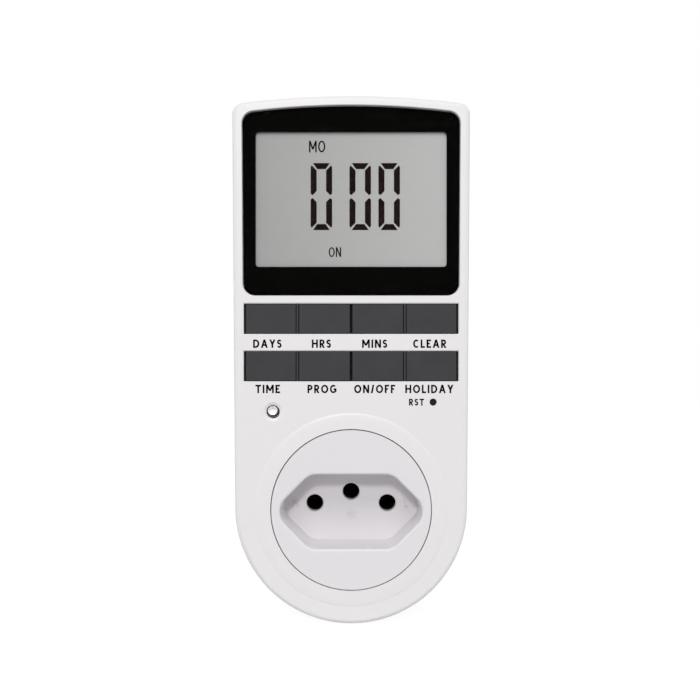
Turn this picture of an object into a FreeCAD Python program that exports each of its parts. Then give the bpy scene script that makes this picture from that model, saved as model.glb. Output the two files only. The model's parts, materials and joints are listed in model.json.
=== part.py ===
"""Seven day digital timer with a plug on its back and a socket in its face, piece by piece.

X runs to the right, Z up, and Y from the user into the wall. The origin is the middle of the plug
boss's flat face, on the line between the two outer pins, and the socket shares that line. Places
along Y are given as depths: the distance in front of the origin, so a depth of 50 is y = -50.
"""
import FreeCAD, Part
import math
import os
import Sketcher
from FreeCAD import Vector

SIZES = [
    # Case
    ("case_depth", 37.3, "rear face to main front face"),
    ("case_half", 29.2, "half width at the socket, also the radius of the round lower end"),
    ("case_end_rise", 0.5, "middle of the round lower end above the line of the pins"),
    ("case_flare", 0.75, "case wider at its top corners, each side"),
    ("case_top", 103.95, "height of the top edge at its middle"),
    ("case_top_arc", 225.0, "radius of the arched top edge"),
    ("case_corner", 3.0, "rounding of the two top corners"),
    ("case_wall", 2.0, "wall of both shells"),
    ("front_shell_depth", 16.0, "front face to the parting line"),
    ("front_edge_round", 1.2, "rounding of the front edge"),
    ("rear_edge_round", 2.4, "rounding of the rear edge"),
    ("parting_bevel", 0.3, "small bevel on both sides of the parting line"),
    ("label_sink", 0.3, "shallow field in the rear face"),
    ("label_side", 9.0, "that field from the side of the case, at the top"),
    ("label_drop", 17.0, "its top edge below the top of the case"),
    ("label_low", 27.0, "its lower edge above the line of the pins"),
    ("label_corner", 2.5, "rounding of its corners"),
    ("tongue_length", 1.5, "tongue of the rear shell inside the front shell"),
    ("tongue_wall", 0.9, "thickness of the tongue"),
    ("tongue_gap", 0.1, "clearance round the tongue"),
    # Plug
    ("plug_boss_height", 12.0, "boss from its face to the rear of the case"),
    ("plug_boss_side", 8.15, "its tips, before rounding, beyond the outer pins"),
    ("plug_boss_room", 0.3, "room over the earth pin's flange, under its wall"),
    ("plug_boss_tip", 3.0, "rounding of its tips"),
    ("plug_boss_face", 3.0, "thickness of its face"),
    ("plug_boss_round", 0.9, "rounding of its face's edge"),
    ("pin_spacing", 19.0, "live to neutral"),
    ("earth_rise", 3.0, "earth pin above the other two"),
    ("pin_radius", 2.0, "radius of all three pins"),
    ("pin_length", 19.0, "pins in front of the boss"),
    ("pin_tip", 0.8, "rounding of the tips of the pins"),
    ("pin_root_radius", 2.3, "thicker root of a pin in the boss face"),
    ("pin_flange_radius", 3.1, "flange behind the boss face"),
    ("pin_flange_depth", 1.5, "thickness of that flange"),
    ("pin_tail_radius", 1.5, "tail of the pin inside"),
    ("pin_tail_length", 4.5, "length of that tail"),
    ("retainer_depth", 4.0, "thickness of the plate over the flanges"),
    ("fit_gap", 0.1, "clearance round seated pieces"),
    # Socket
    ("platform_rise", 0.25, "raised ring round the socket, above the main face"),
    ("platform_inset", 4.9, "that ring, from the side of the case"),
    ("platform_shoulder", 1.6, "width of its rounded shoulder"),
    ("disc_inset", 9.2, "round socket insert, from the side of the case"),
    ("disc_gap", 0.27, "gap round the insert"),
    ("disc_flange", 1.6, "flange behind the shell, beyond the insert"),
    ("disc_flange_depth", 1.5, "thickness of that flange"),
    ("recess_depth", 11.55, "depth of the hexagonal recess"),
    ("recess_inset", 0.25, "its tips, before rounding, from the edge of the insert"),
    ("recess_high", 9.32, "half height of its mouth"),
    ("recess_slant", 9.32, "its flat edges end this far in from the tips"),
    ("recess_drop", 0.48, "its middle below the line of the outer pins"),
    ("recess_lean", 1.5, "lean of its walls in degrees, its floor being the smaller end"),
    ("recess_tip", 4.5, "rounding of its tips"),
    ("recess_corner", 4.6, "rounding of its four other corners"),
    ("recess_lip", 0.6, "rounding of its mouth"),
    ("recess_wall", 1.6, "wall round the recess"),
    ("recess_floor", 2.5, "floor of the recess"),
    ("pin_entry_radius", 2.2, "holes in the floor"),
    ("pin_entry_bevel", 0.25, "bevel of those holes"),
    # Contacts
    ("contact_outer", 2.6, "outer radius of the sprung sleeves"),
    ("contact_wall", 0.55, "wall of the sleeves"),
    ("contact_recess", 1.2, "sleeves behind the floor of the socket"),
    ("contact_base", 2.0, "closed rear end of a sleeve"),
    ("contact_slit", 0.6, "slit that lets a sleeve spring"),
    ("contact_flange", 3.4, "radius of its rear flange"),
    ("contact_flange_depth", 0.8, "thickness of that flange"),
    ("carrier_room", 6.0, "rear wall to the contact carrier"),
    ("carrier_half", 14.7, "half width of its block"),
    ("carrier_low", 4.4, "block below the line of the pins"),
    ("carrier_high", 7.4, "block above the line of the pins"),
    ("carrier_ear_high", 3.3, "half height of the ears"),
    ("carrier_ear_depth", 2.2, "thickness of the ears"),
    ("carrier_post_gap", 1.0, "posts for the ears off the side wall"),
    ("strap_wide", 3.0, "width of the straps from pins to contacts"),
    ("strap_thick", 0.8, "thickness of the straps"),
    ("lead_radius", 0.9, "mains leads"),
    ("lead_bend", 1.4, "radius of their bends"),
    ("lead_gap", 0.2, "leads off the rear wall"),
    ("lead_margin", 4.0, "their solder points above the edge of the power board"),
    ("lead_side_step", 2.5, "live lead out, beside the live lead in"),
    # Display
    ("window_above_keys", 2.1, "lower edge of the window above the keys"),
    ("window_side_rim", 2.55, "case beside the window at its upper corners"),
    ("window_taper", 0.3, "window narrower at its lower edge, each side"),
    ("window_top_rim", 2.5, "case above the window"),
    ("window_top_arc", 210.0, "radius of its arched upper edge"),
    ("window_corner", 3.0, "rounding of its corners"),
    ("window_gap", 0.12, "gap round it"),
    ("window_sink", 0.2, "its face below the main face"),
    ("window_rim_bevel", 0.15, "bevel of the shell round the window"),
    ("window_thick", 1.1, "clear plate"),
    ("mask_thick", 0.1, "printed layer behind the plate"),
    ("view_side_border", 3.03, "printed border at the sides, at the lower edge"),
    ("view_low_border", 7.23, "printed border below the clear opening"),
    ("view_top_border", 6.47, "printed border above it, at the middle"),
    ("view_corner", 0.85, "rounding of its corners"),
    ("view_margin", 0.7, "shell opening beyond the clear opening"),
    ("glass_margin", 1.4, "display cell beyond the clear opening, at the sides"),
    ("glass_top_margin", 1.1, "the same at the top"),
    ("glass_ledge", 3.2, "the same at the bottom, with the contact ledge"),
    ("glass_front", 1.1, "front glass"),
    ("glass_rear", 1.3, "rear glass"),
    ("glass_rear_inset", 2.1, "rear glass ends above the contact ledge"),
    ("holder_wall", 1.2, "wall of the display holder"),
    ("holder_top_wall", 0.5, "its wall at the top"),
    ("holder_plate", 1.0, "its plate behind the display"),
    ("zebra_thick", 1.7, "rubber contact strip"),
    ("zebra_margin", 2.0, "strip shorter than the display at each end"),
    # Keys
    ("lower_row", 36.0, "middle of the lower row of keys, above the line of the pins"),
    ("row_pitch", 11.9, "lower row to upper row"),
    ("key_side_rim", 2.25, "case beside the key windows, at the socket"),
    ("key_window_high", 7.6, "height of the windows"),
    ("key_window_bevel", 0.25, "bevel round the windows"),
    ("key_gap", 0.15, "clearance round a key"),
    ("key_end_gap", 0.5, "gap at the outer ends of a row"),
    ("key_middle_gap", 0.6, "gap between the two middle keys"),
    ("key_sink", 0.3, "keys below the main face"),
    ("key_round", 0.2, "rounding of the front of a key"),
    ("key_travel", 0.5, "how far a key goes in"),
    ("rib_wide", 0.45, "width of the ribs"),
    ("rib_sink", 0.2, "ribs below the main face"),
    ("bridge_wide", 0.3, "bridge deep in the gap between the two middle keys"),
    ("divider_plate", 0.8, "plate that carries the ribs"),
    ("divider_side", 0.35, "plate beside the windows"),
    ("divider_margin", 0.7, "plate above and below the windows"),
    ("stake_radius", 0.9, "pegs of the shell in the plate"),
    ("flange_gap", 0.1, "key flange behind the plate, at rest"),
    ("flange_high", 0.6, "key flange beyond the window, above and below"),
    ("flange_thick", 0.6, "thickness of the flange"),
    ("stem_radius", 1.5, "stem behind a key"),
    ("plunger_radius", 1.0, "plunger in a switch"),
    ("plunger_gap", 0.12, "clearance round the plunger"),
    ("plunger_length", 2.35, "length of the plunger"),
    ("switch_wide", 6.0, "side of a switch"),
    ("switch_high", 3.5, "height of a switch"),
    ("switch_bore", 2.8, "depth of the bore in a switch"),
    # Reset and lamp
    ("reset_inset", 8.64, "reset button, from the side of the case"),
    ("reset_drop", 9.0, "reset button below the lower row"),
    ("reset_hole", 0.9, "radius of its hole"),
    ("reset_tip", 0.75, "radius of the button in the hole"),
    ("reset_sink", 0.6, "button below the main face"),
    ("reset_collar", 1.6, "radius of its collar"),
    ("reset_switch_wide", 4.4, "side of the reset switch"),
    ("led_inset", 9.6, "status lamp, from the side of the case"),
    ("led_drop", 11.45, "status lamp below the lower row"),
    ("led_radius", 1.5, "radius of the lamp"),
    ("led_hole", 1.7, "radius of its hole"),
    ("led_dish", 2.4, "radius of the dished rim round the hole"),
    ("led_dish_depth", 0.35, "depth of that rim"),
    ("led_proud", 0.6, "lamp in front of the main face"),
    ("led_length", 5.0, "lamp from its flange to its tip"),
    ("led_flange", 1.9, "radius of its flange"),
    ("led_flange_depth", 1.0, "thickness of the flange"),
    ("led_lead", 0.5, "side of its leads"),
    ("led_lead_spacing", 2.54, "spacing of its leads"),
    # Boards
    ("board_thick", 1.6, "both boards"),
    ("front_board_depth", 7.8, "main face to the front of the control board"),
    ("front_board_gap", 0.2, "control board off the side walls"),
    ("front_board_margin", 3.0, "control board below the lamp"),
    ("front_board_cut", 1.9, "cut round the flange of the socket insert"),
    ("front_post_radius", 1.75, "posts for the control board"),
    ("front_post_gap", 0.25, "those posts off the side wall and the key flanges"),
    ("front_post_drop", 3.1, "lower posts below the plate of the ribs"),
    ("rear_board_gap", 2.7, "power board off the side walls"),
    ("rear_board_low", 27.0, "its lower edge, above the line of the pins"),
    ("rear_board_drop", 7.0, "its upper edge below the upper case screws"),
    ("rear_board_stand", 3.0, "power board off the rear wall"),
    ("rear_post_inset", 3.0, "posts for the power board, from its sides"),
    ("rear_post_margin", 4.0, "those posts, from its upper and lower edges"),
    ("rear_post_radius", 2.2, "radius of those posts"),
    # Screws
    ("small_screw_radius", 0.8, "screws of the boards and the carrier"),
    ("small_screw_length", 5.5, "their length"),
    ("small_head_radius", 1.6, "radius of their heads"),
    ("small_head_depth", 1.2, "thickness of their heads"),
    ("screw_hole_gap", 0.15, "clearance in the pieces they pass"),
    ("case_screw_radius", 1.2, "four case screws"),
    ("case_screw_grip", 7.0, "their length in the front posts"),
    ("case_head_radius", 2.5, "radius of their heads"),
    ("case_head_depth", 1.8, "thickness of their heads"),
    ("case_head_sink", 12.0, "their seats below the rear face"),
    ("case_head_gap", 0.3, "clearance round their heads"),
    ("case_post_radius", 1.9, "front posts that they bite in"),
    ("case_column_wall", 0.9, "wall of the rear columns"),
    ("case_screw_inset", 9.95, "upper case screws, from the side of the case"),
    ("case_post_gap", 0.4, "front posts off the upper wall"),
    ("case_low_gap", 0.98, "lower front posts off the round wall"),
    ("screw_cross", 0.55, "width of the cross in a head"),
    # Parts on the boards
    ("chip_wide", 10.0, "controller chip"),
    ("chip_z", 64.0, "height of the chip"),
    ("chip_thick", 1.6, "thickness of the chip"),
    ("crystal_radius", 1.0, "clock crystal"),
    ("crystal_length", 6.0, "length of the crystal"),
    ("crystal_x", -10.0, "place of the crystal"),
    ("cell_radius", 7.75, "backup cell"),
    ("cell_thick", 5.4, "thickness of the cell"),
    ("cell_x", 14.0, "place of the cell"),
    ("cell_drop", 17.7, "cell below the upper edge of its board"),
    ("tab_thick", 0.2, "its tabs"),
    ("tab_wide", 3.0, "width of the tabs"),
    ("tab_reach", 4.0, "tabs beyond the cell"),
    ("link_x", -18.0, "wires between the boards"),
    ("link_drop", 8.0, "those wires below the upper edge of the power board"),
    ("link_pitch", 2.54, "spacing of those wires"),
    ("link_count", 5, "number of those wires"),
    ("link_radius", 0.6, "radius of a wire"),
    ("relay_wide", 15.5, "relay"),
    ("relay_long", 19.0, "its length, upright"),
    ("relay_high", 15.0, "its height over the board"),
    ("relay_x", -13.5, "place of the relay"),
    ("relay_z", 45.5, "height of the relay"),
    ("dropper_wide", 18.0, "mains dropper capacitor"),
    ("dropper_high", 7.5, "its height along Z"),
    ("dropper_tall", 13.0, "its height over the board"),
    ("dropper_x", 10.5, "place of the dropper"),
    ("dropper_z", 40.0, "height of the dropper"),
    ("smoother_radius", 4.0, "smoothing capacitor"),
    ("smoother_tall", 11.5, "its height over the board"),
    ("smoother_x", 12.0, "place of the smoother"),
    ("smoother_z", 52.0, "height of the smoother"),
    ("varistor_radius", 5.0, "varistor"),
    ("varistor_thick", 4.0, "thickness of the varistor"),
    ("varistor_x", 0.5, "place of the varistor"),
    ("varistor_z", 52.0, "height of the varistor"),
    ("diode_radius", 1.35, "rectifier diodes"),
    ("diode_length", 5.0, "length of a diode"),
    ("diode_x", 4.0, "first diode"),
    ("diode_z", 64.0, "height of the diodes"),
    ("diode_pitch", 4.5, "spacing of the diodes"),
    ("diode_count", 4, "number of diodes"),
    ("resistor_radius", 1.2, "resistors"),
    ("resistor_length", 6.3, "length of a resistor"),
    ("resistor_x", -14.0, "first resistor"),
    ("resistor_pitch", 4.5, "spacing of the resistors"),
    ("resistor_count", 3, "number of resistors"),
    ("fuse_radius", 4.2, "input fuse"),
    ("fuse_tall", 8.0, "its height over the board"),
    ("fuse_x", -10.0, "place of the fuse"),
    ("fuse_drop", 16.0, "fuse below the upper edge of the board"),
]
NUMBERS = {alias: number for alias, number, _ in SIZES}


class Length:
    """A size that holds both its number and the sheet formula that gives it."""

    def __init__(self, number, formula=None):
        self.number = number
        self.formula = repr(number) if formula is None else formula

    @staticmethod
    def of(other):
        return other if isinstance(other, Length) else Length(other)

    def _join(self, other, sign, number):
        return Length(number, f"({self.formula} {sign} {Length.of(other).formula})")

    def __add__(self, other):
        return self._join(other, "+", self.number + Length.of(other).number)

    def __sub__(self, other):
        return self._join(other, "-", self.number - Length.of(other).number)

    def __mul__(self, other):
        return self._join(other, "*", self.number * Length.of(other).number)

    def __truediv__(self, other):
        return self._join(other, "/", self.number / Length.of(other).number)

    def __radd__(self, other):
        return Length.of(other) + self

    def __rsub__(self, other):
        return Length.of(other) - self

    def __rmul__(self, other):
        return Length.of(other) * self

    def __neg__(self):
        return Length(-self.number, f"(0 - {self.formula})")

    def root(self):
        return Length(math.sqrt(self.number), f"sqrt{self.formula}")


class SizeTable:
    """Reads the driving sizes by name: SIZE.case_depth is a Length."""

    def __getattr__(self, alias):
        return Length(NUMBERS[alias], f"Sizes.{alias}")


SIZE = SizeTable()
DOC = FreeCAD.newDocument("DigitalTimer")
NODES = []


def make_sheet():
    sheet = DOC.addObject("Spreadsheet::Sheet", "Sizes")
    for row, (alias, number, note) in enumerate(SIZES, 1):
        sheet.set(f"A{row}", alias)
        sheet.set(f"B{row}", str(number))
        sheet.set(f"C{row}", note)
        sheet.setAlias(f"B{row}", alias)
    DOC.recompute()


make_sheet()

# Depths that pieces share, each the distance in front of the origin
REAR_FACE = SIZE.plug_boss_height
MAIN_FACE = REAR_FACE + SIZE.case_depth
DISC_FACE = MAIN_FACE + SIZE.platform_rise
PARTING = MAIN_FACE - SIZE.front_shell_depth
FRONT_INSIDE = MAIN_FACE - SIZE.case_wall
REAR_INSIDE = REAR_FACE + SIZE.case_wall
RECESS_FLOOR = DISC_FACE - SIZE.recess_depth
SOCKET_BACK = RECESS_FLOOR - SIZE.recess_floor
CARRIER_BACK = REAR_INSIDE + SIZE.carrier_room
PIN_TAIL_END = SIZE.plug_boss_face + SIZE.pin_flange_depth + SIZE.pin_tail_length
WINDOW_FRONT = MAIN_FACE - SIZE.window_sink
WINDOW_BACK = WINDOW_FRONT - SIZE.window_thick
MASK_BACK = WINDOW_BACK - SIZE.mask_thick
FRONT_BOARD = MAIN_FACE - SIZE.front_board_depth
FRONT_BOARD_BACK = FRONT_BOARD - SIZE.board_thick
REAR_BOARD_BACK = REAR_INSIDE + SIZE.rear_board_stand
REAR_BOARD = REAR_BOARD_BACK + SIZE.board_thick
SWITCH_FRONT = FRONT_BOARD + SIZE.switch_high
PLUNGER_TIP = SWITCH_FRONT + SIZE.key_travel + SIZE.plunger_gap
DIVIDER_BACK = FRONT_INSIDE - SIZE.divider_plate
KEY_FLANGE = DIVIDER_BACK - SIZE.flange_gap
KEY_BACK = KEY_FLANGE - SIZE.flange_thick
KEY_FACE = MAIN_FACE - SIZE.key_sink
CASE_SEAT = REAR_FACE + SIZE.case_head_sink
LEAD_PLANE = REAR_INSIDE + SIZE.lead_gap + SIZE.lead_radius


def arch(half, top, arc):
    """Height of an arched top edge at a half width."""
    return top - arc + (arc * arc - half * half).root()


def mirrored(x, z):
    return [(x, z), (-x, z)]


# Outline of the case and of the socket
TOP_HALF = SIZE.case_half + SIZE.case_flare
SIDE_WALL = SIZE.case_half - SIZE.case_wall
DISC_RADIUS = SIZE.case_half - SIZE.disc_inset
RECESS_HALF = DISC_RADIUS - SIZE.recess_inset
RECESS_FLAT = RECESS_HALF - SIZE.recess_slant

# Keys and what lies under them
LOWER_ROW = SIZE.lower_row
UPPER_ROW = LOWER_ROW + SIZE.row_pitch
KEY_ROWS = [UPPER_ROW, LOWER_ROW]
KEY_WINDOW_HALF = SIZE.case_half - SIZE.key_side_rim
RIB_X = KEY_WINDOW_HALF / 2
STAKES = mirrored((KEY_WINDOW_HALF + RIB_X) / 2, (UPPER_ROW + LOWER_ROW) / 2)
STAKES += [(Length(0), (UPPER_ROW + LOWER_ROW) / 2)]
DIVIDER_LOW = LOWER_ROW - SIZE.key_window_high / 2 - SIZE.divider_margin
DIVIDER_TOP = UPPER_ROW + SIZE.key_window_high / 2 + SIZE.divider_margin
RESET_X = SIZE.case_half - SIZE.reset_inset
RESET_Z = LOWER_ROW - SIZE.reset_drop
LED_X = SIZE.led_inset - SIZE.case_half
LED_Z = LOWER_ROW - SIZE.led_drop

# Display
WINDOW_TOP = SIZE.case_top - SIZE.window_top_rim
WINDOW_LOW = UPPER_ROW + SIZE.key_window_high / 2 + SIZE.window_above_keys
WINDOW_TOP_HALF = TOP_HALF - SIZE.window_side_rim
WINDOW_LOW_HALF = WINDOW_TOP_HALF - SIZE.window_taper
VIEW_HALF = WINDOW_LOW_HALF - SIZE.view_side_border
VIEW_LOW = WINDOW_LOW + SIZE.view_low_border
VIEW_TOP = WINDOW_TOP - SIZE.view_top_border
LCD_TOP = VIEW_TOP + SIZE.glass_top_margin
LCD_LOW = VIEW_LOW - SIZE.glass_ledge
LCD_HALF = VIEW_HALF + SIZE.glass_margin

# Pins, posts and boards
PIN_X = SIZE.pin_spacing / 2
PIN_PLACES = mirrored(PIN_X, Length(0)) + [(Length(0), SIZE.earth_rise)]
PLUG_HALF = PIN_X + SIZE.plug_boss_side
PLUG_HIGH = SIZE.earth_rise + SIZE.pin_flange_radius + SIZE.plug_boss_room + SIZE.case_wall
PLUG_FLAT = PLUG_HALF - PLUG_HIGH
CARRIER_POST_X = SIDE_WALL - SIZE.carrier_post_gap - SIZE.rear_post_radius
CARRIER_POSTS = mirrored(CARRIER_POST_X, Length(0))
FRONT_BOARD_HALF = SIDE_WALL - SIZE.front_board_gap
FRONT_BOARD_LOW = LED_Z - SIZE.front_board_margin
FRONT_BOARD_TOP = LCD_TOP + SIZE.fit_gap + SIZE.holder_top_wall
FRONT_POST_X = SIDE_WALL - SIZE.front_post_gap - SIZE.front_post_radius
FRONT_POST_LOW = DIVIDER_LOW - SIZE.front_post_drop
FRONT_POST_HIGH = (UPPER_ROW + SIZE.key_window_high / 2 + SIZE.flange_high
                   + SIZE.front_post_gap + SIZE.front_post_radius)
FRONT_POSTS = mirrored(FRONT_POST_X, FRONT_POST_LOW) + mirrored(FRONT_POST_X, FRONT_POST_HIGH)
LABEL_HALF = TOP_HALF - SIZE.label_side
LABEL_TOP = SIZE.case_top - SIZE.label_drop
CASE_SCREW_X = TOP_HALF - SIZE.case_screw_inset
CASE_SCREW_TOP = (arch(CASE_SCREW_X, SIZE.case_top, SIZE.case_top_arc) - SIZE.case_wall
                  - SIZE.case_post_radius - SIZE.case_post_gap)
CASE_SCREW_LOW = (SIDE_WALL - SIZE.case_post_radius - SIZE.case_low_gap) / math.sqrt(2)
CASE_SCREWS = mirrored(CASE_SCREW_X, CASE_SCREW_TOP)
CASE_SCREWS += mirrored(CASE_SCREW_LOW, SIZE.case_end_rise - CASE_SCREW_LOW)
REAR_BOARD_HALF = SIDE_WALL - SIZE.rear_board_gap
REAR_BOARD_TOP = CASE_SCREW_TOP - SIZE.rear_board_drop
REAR_POST_X = REAR_BOARD_HALF - SIZE.rear_post_inset
REAR_POSTS = mirrored(REAR_POST_X, SIZE.rear_board_low + SIZE.rear_post_margin)
REAR_POSTS += mirrored(REAR_POST_X, REAR_BOARD_TOP - SIZE.rear_post_margin)


# Bodies, sketches and features

def bind(item, path, length):
    item.setExpression(path, Length.of(length).formula)


def node(item, name):
    """Marks an object as a sub-part: its label names its file."""
    item.Label = name
    NODES.append(item)
    return item


def body_of(name):
    return node(DOC.addObject("PartDesign::Body", name), name)


def sketch_at(body, role, offset=None):
    """A sketch on one of the body's own planes. On XZ_Plane the offset is a depth."""
    sketch = body.newObject("Sketcher::SketchObject", f"{body.Name}_sketch")
    plane = [item for item in body.Origin.OriginFeatures if item.Role == role][0]
    sketch.AttachmentSupport = [(plane, "")]
    sketch.MapMode = "FlatFace"
    if offset is not None:
        bind(sketch, "AttachmentOffset.Base.z", offset)
    return sketch


def pin_point(sketch, shape, vertex, x, z):
    """Holds a point of a shape at x and z from the sketch's origin."""
    for kind, place in (("DistanceX", x), ("DistanceY", z)):
        place = Length.of(place)
        index = sketch.addConstraint(
            Sketcher.Constraint(kind, -1, 1, shape, vertex, place.number))
        bind(sketch, f"Constraints[{index}]", place)


def set_radius(sketch, shape, radius):
    index = sketch.addConstraint(Sketcher.Constraint("Radius", shape, Length.of(radius).number))
    bind(sketch, f"Constraints[{index}]", radius)


def circle(sketch, x, z, radius):
    x, z, radius = Length.of(x), Length.of(z), Length.of(radius)
    shape = sketch.addGeometry(
        Part.Circle(Vector(x.number, z.number, 0), Vector(0, 0, 1), radius.number), False)
    pin_point(sketch, shape, 3, x, z)
    set_radius(sketch, shape, radius)


def circles(sketch, places, radius):
    for x, z in places:
        circle(sketch, x, z, radius)


def loop(sketch, corners):
    """A closed run of straight lines through the corners."""
    corners = [(Length.of(x), Length.of(z)) for x, z in corners]
    points = [Vector(x.number, z.number, 0) for x, z in corners]
    shapes = [sketch.addGeometry(Part.LineSegment(start, end), False)
              for start, end in zip(points, points[1:] + points[:1])]
    for first, second in zip(shapes, shapes[1:] + shapes[:1]):
        sketch.addConstraint(Sketcher.Constraint("Coincident", first, 2, second, 1))
    for shape, (x, z) in zip(shapes, corners):
        pin_point(sketch, shape, 1, x, z)


def rectangle(sketch, left, right, low, top):
    loop(sketch, [(left, low), (right, low), (right, top), (left, top)])


def rectangles(sketch, boxes):
    for box in boxes:
        rectangle(sketch, *box)


def hexagon(sketch, half, flat, high, middle=0):
    """Six corners with the tips at the sides, as on the plug and its socket."""
    loop(sketch, [(half, middle), (flat, middle + high), (-flat, middle + high),
                  (-half, middle), (-flat, middle - high), (flat, middle - high)])


def top_arc(sketch, half, top, arc):
    """The arched top edge, from the right corner to the left one."""
    middle = Length.of(top - arc)
    lean = math.asin(half.number / arc.number)
    round_edge = Part.Circle(Vector(0, middle.number, 0), Vector(0, 0, 1), arc.number)
    shape = sketch.addGeometry(
        Part.ArcOfCircle(round_edge, math.pi / 2 - lean, math.pi / 2 + lean), False)
    pin_point(sketch, shape, 3, 0, middle)
    set_radius(sketch, shape, arc)
    height = arch(half, top, arc)
    for vertex, side in ((1, half), (2, -half)):
        index = sketch.addConstraint(
            Sketcher.Constraint("DistanceX", -1, 1, shape, vertex, side.number))
        bind(sketch, f"Constraints[{index}]", side)
    return shape, height


def case_outline(sketch, inset=0):
    """Outline of the case, seen from the front, drawn inwards by an inset."""
    low = SIZE.case_half - inset
    half = TOP_HALF - inset
    upper, height = top_arc(sketch, half, SIZE.case_top - inset, SIZE.case_top_arc - inset)
    middle = SIZE.case_end_rise.number
    round_end = Part.Circle(Vector(0, middle, 0), Vector(0, 0, 1), low.number)
    lower = sketch.addGeometry(Part.ArcOfCircle(round_end, math.pi, 2 * math.pi), False)
    pin_point(sketch, lower, 3, 0, SIZE.case_end_rise)
    set_radius(sketch, lower, low)
    for vertex in (1, 2):
        sketch.addConstraint(Sketcher.Constraint("Horizontal", lower, vertex, lower, 3))
    for side, start, end in ((1, 2, 1), (-1, 1, 2)):
        edge = sketch.addGeometry(
            Part.LineSegment(Vector(side * low.number, middle, 0),
                             Vector(side * half.number, height.number, 0)), False)
        sketch.addConstraint(Sketcher.Constraint("Coincident", edge, 1, lower, start))
        sketch.addConstraint(Sketcher.Constraint("Coincident", edge, 2, upper, end))


def case_corners(inset=0):
    half = TOP_HALF - inset
    height = arch(half, SIZE.case_top - inset, SIZE.case_top_arc - inset)
    return [(half, height), (-half, height)]


def window_outline(sketch, gap=0):
    """Outline of the display window, drawn outwards by a gap."""
    half = WINDOW_TOP_HALF + gap
    low_half = WINDOW_LOW_HALF + gap
    low = WINDOW_LOW - gap
    upper, height = top_arc(sketch, half, WINDOW_TOP + gap, SIZE.window_top_arc + gap)
    points = [Vector(half.number, height.number, 0), Vector(low_half.number, low.number, 0),
              Vector(-low_half.number, low.number, 0), Vector(-half.number, height.number, 0)]
    edges = [sketch.addGeometry(Part.LineSegment(start, end), False)
             for start, end in zip(points, points[1:])]
    sketch.addConstraint(Sketcher.Constraint("Coincident", edges[0], 1, upper, 1))
    sketch.addConstraint(Sketcher.Constraint("Coincident", edges[0], 2, edges[1], 1))
    sketch.addConstraint(Sketcher.Constraint("Coincident", edges[1], 2, edges[2], 1))
    sketch.addConstraint(Sketcher.Constraint("Coincident", edges[2], 2, upper, 2))
    pin_point(sketch, edges[1], 1, low_half, low)
    pin_point(sketch, edges[1], 2, -low_half, low)


def window_corners(gap=0):
    half = WINDOW_TOP_HALF + gap
    height = arch(half, WINDOW_TOP + gap, SIZE.window_top_arc + gap)
    return mirrored(half, height) + mirrored(WINDOW_LOW_HALF + gap, WINDOW_LOW - gap)


def pad(body, back, front, draw, *shape):
    """Adds material between two depths."""
    sketch = sketch_at(body, "XZ_Plane", back)
    draw(sketch, *shape)
    feature = body.newObject("PartDesign::Pad", f"{body.Name}_pad")
    feature.Profile = sketch
    bind(feature, "Length", front - back)
    return feature


def double_pad(body, back, front, outer, inner):
    """A pad with a second outline inside the first as its hole."""
    sketch = sketch_at(body, "XZ_Plane", back)
    outer(sketch)
    inner(sketch)
    feature = body.newObject("PartDesign::Pad", f"{body.Name}_ring")
    feature.Profile = sketch
    bind(feature, "Length", front - back)
    return feature


def pocket(body, back, front, draw, *shape):
    """Takes material away between two depths, from the front one backwards."""
    sketch = sketch_at(body, "XZ_Plane", front)
    draw(sketch, *shape)
    feature = body.newObject("PartDesign::Pocket", f"{body.Name}_pocket")
    feature.Profile = sketch
    bind(feature, "Length", front - back)
    return feature


def turned(body, kind, profile):
    """A profile of radius and depth, turned about the Y axis."""
    sketch = sketch_at(body, "XY_Plane")
    loop(sketch, [(radius, -Length.of(depth)) for radius, depth in profile])
    feature = body.newObject(f"PartDesign::{kind}", f"{body.Name}_{kind.lower()}")
    feature.Profile = sketch
    feature.ReferenceAxis = (sketch, ["V_Axis"])
    feature.Angle = 360.0
    return feature


def near(first, second):
    return abs(first - second) < 0.02


def edges_at(feature, corners, back, front):
    """Names of the straight edges along the depth at these corners."""
    names = []
    for index, edge in enumerate(feature.Shape.Edges, 1):
        ends = [vertex.Point for vertex in edge.Vertexes]
        if len(ends) != 2 or not near(ends[0].x, ends[1].x) or not near(ends[0].z, ends[1].z):
            continue
        low, high = sorted(-end.y for end in ends)
        inside = low > back.number - 0.02 and high < front.number + 0.02
        if inside and any(near(ends[0].x, Length.of(x).number) and near(ends[0].z, Length.of(z).number)
                          for x, z in corners):
            names.append(f"Edge{index}")
    return names


def leaning_edges_at(feature, corners, back, front):
    """Names of the straight edges that run back from these corners to another depth."""
    names = []
    for index, edge in enumerate(feature.Shape.Edges, 1):
        ends = sorted((vertex.Point for vertex in edge.Vertexes), key=lambda point: point.y)
        if len(ends) != 2 or not near(-ends[0].y, front.number) or not near(-ends[1].y, back.number):
            continue
        if any(near(ends[0].x, Length.of(x).number) and near(ends[0].z, Length.of(z).number)
               for x, z in corners):
            names.append(f"Edge{index}")
    return names


def edges_in_plane(feature, depth, keep):
    """Names of the edges that lie at one depth and that keep accepts by their box."""
    names = []
    for index, edge in enumerate(feature.Shape.Edges, 1):
        box = edge.BoundBox
        if near(box.YMin, -depth.number) and near(box.YMax, -depth.number) and keep(box):
            names.append(f"Edge{index}")
    return names


def soften(body, kind, feature, names, size):
    """Rounds or bevels the named edges of a feature."""
    if not names:
        raise RuntimeError(f"{body.Label}: no edges to soften")
    result = body.newObject(f"PartDesign::{kind}", f"{body.Name}_{kind.lower()}")
    result.Base = (feature, names)
    bind(result, "Radius" if kind == "Fillet" else "Size", size)
    DOC.recompute()
    return result


def round_corners(body, feature, corners, back, front, radius):
    DOC.recompute()
    return soften(body, "Fillet", feature, edges_at(feature, corners, back, front), radius)


# Part primitives for small and bought-in pieces

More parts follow.
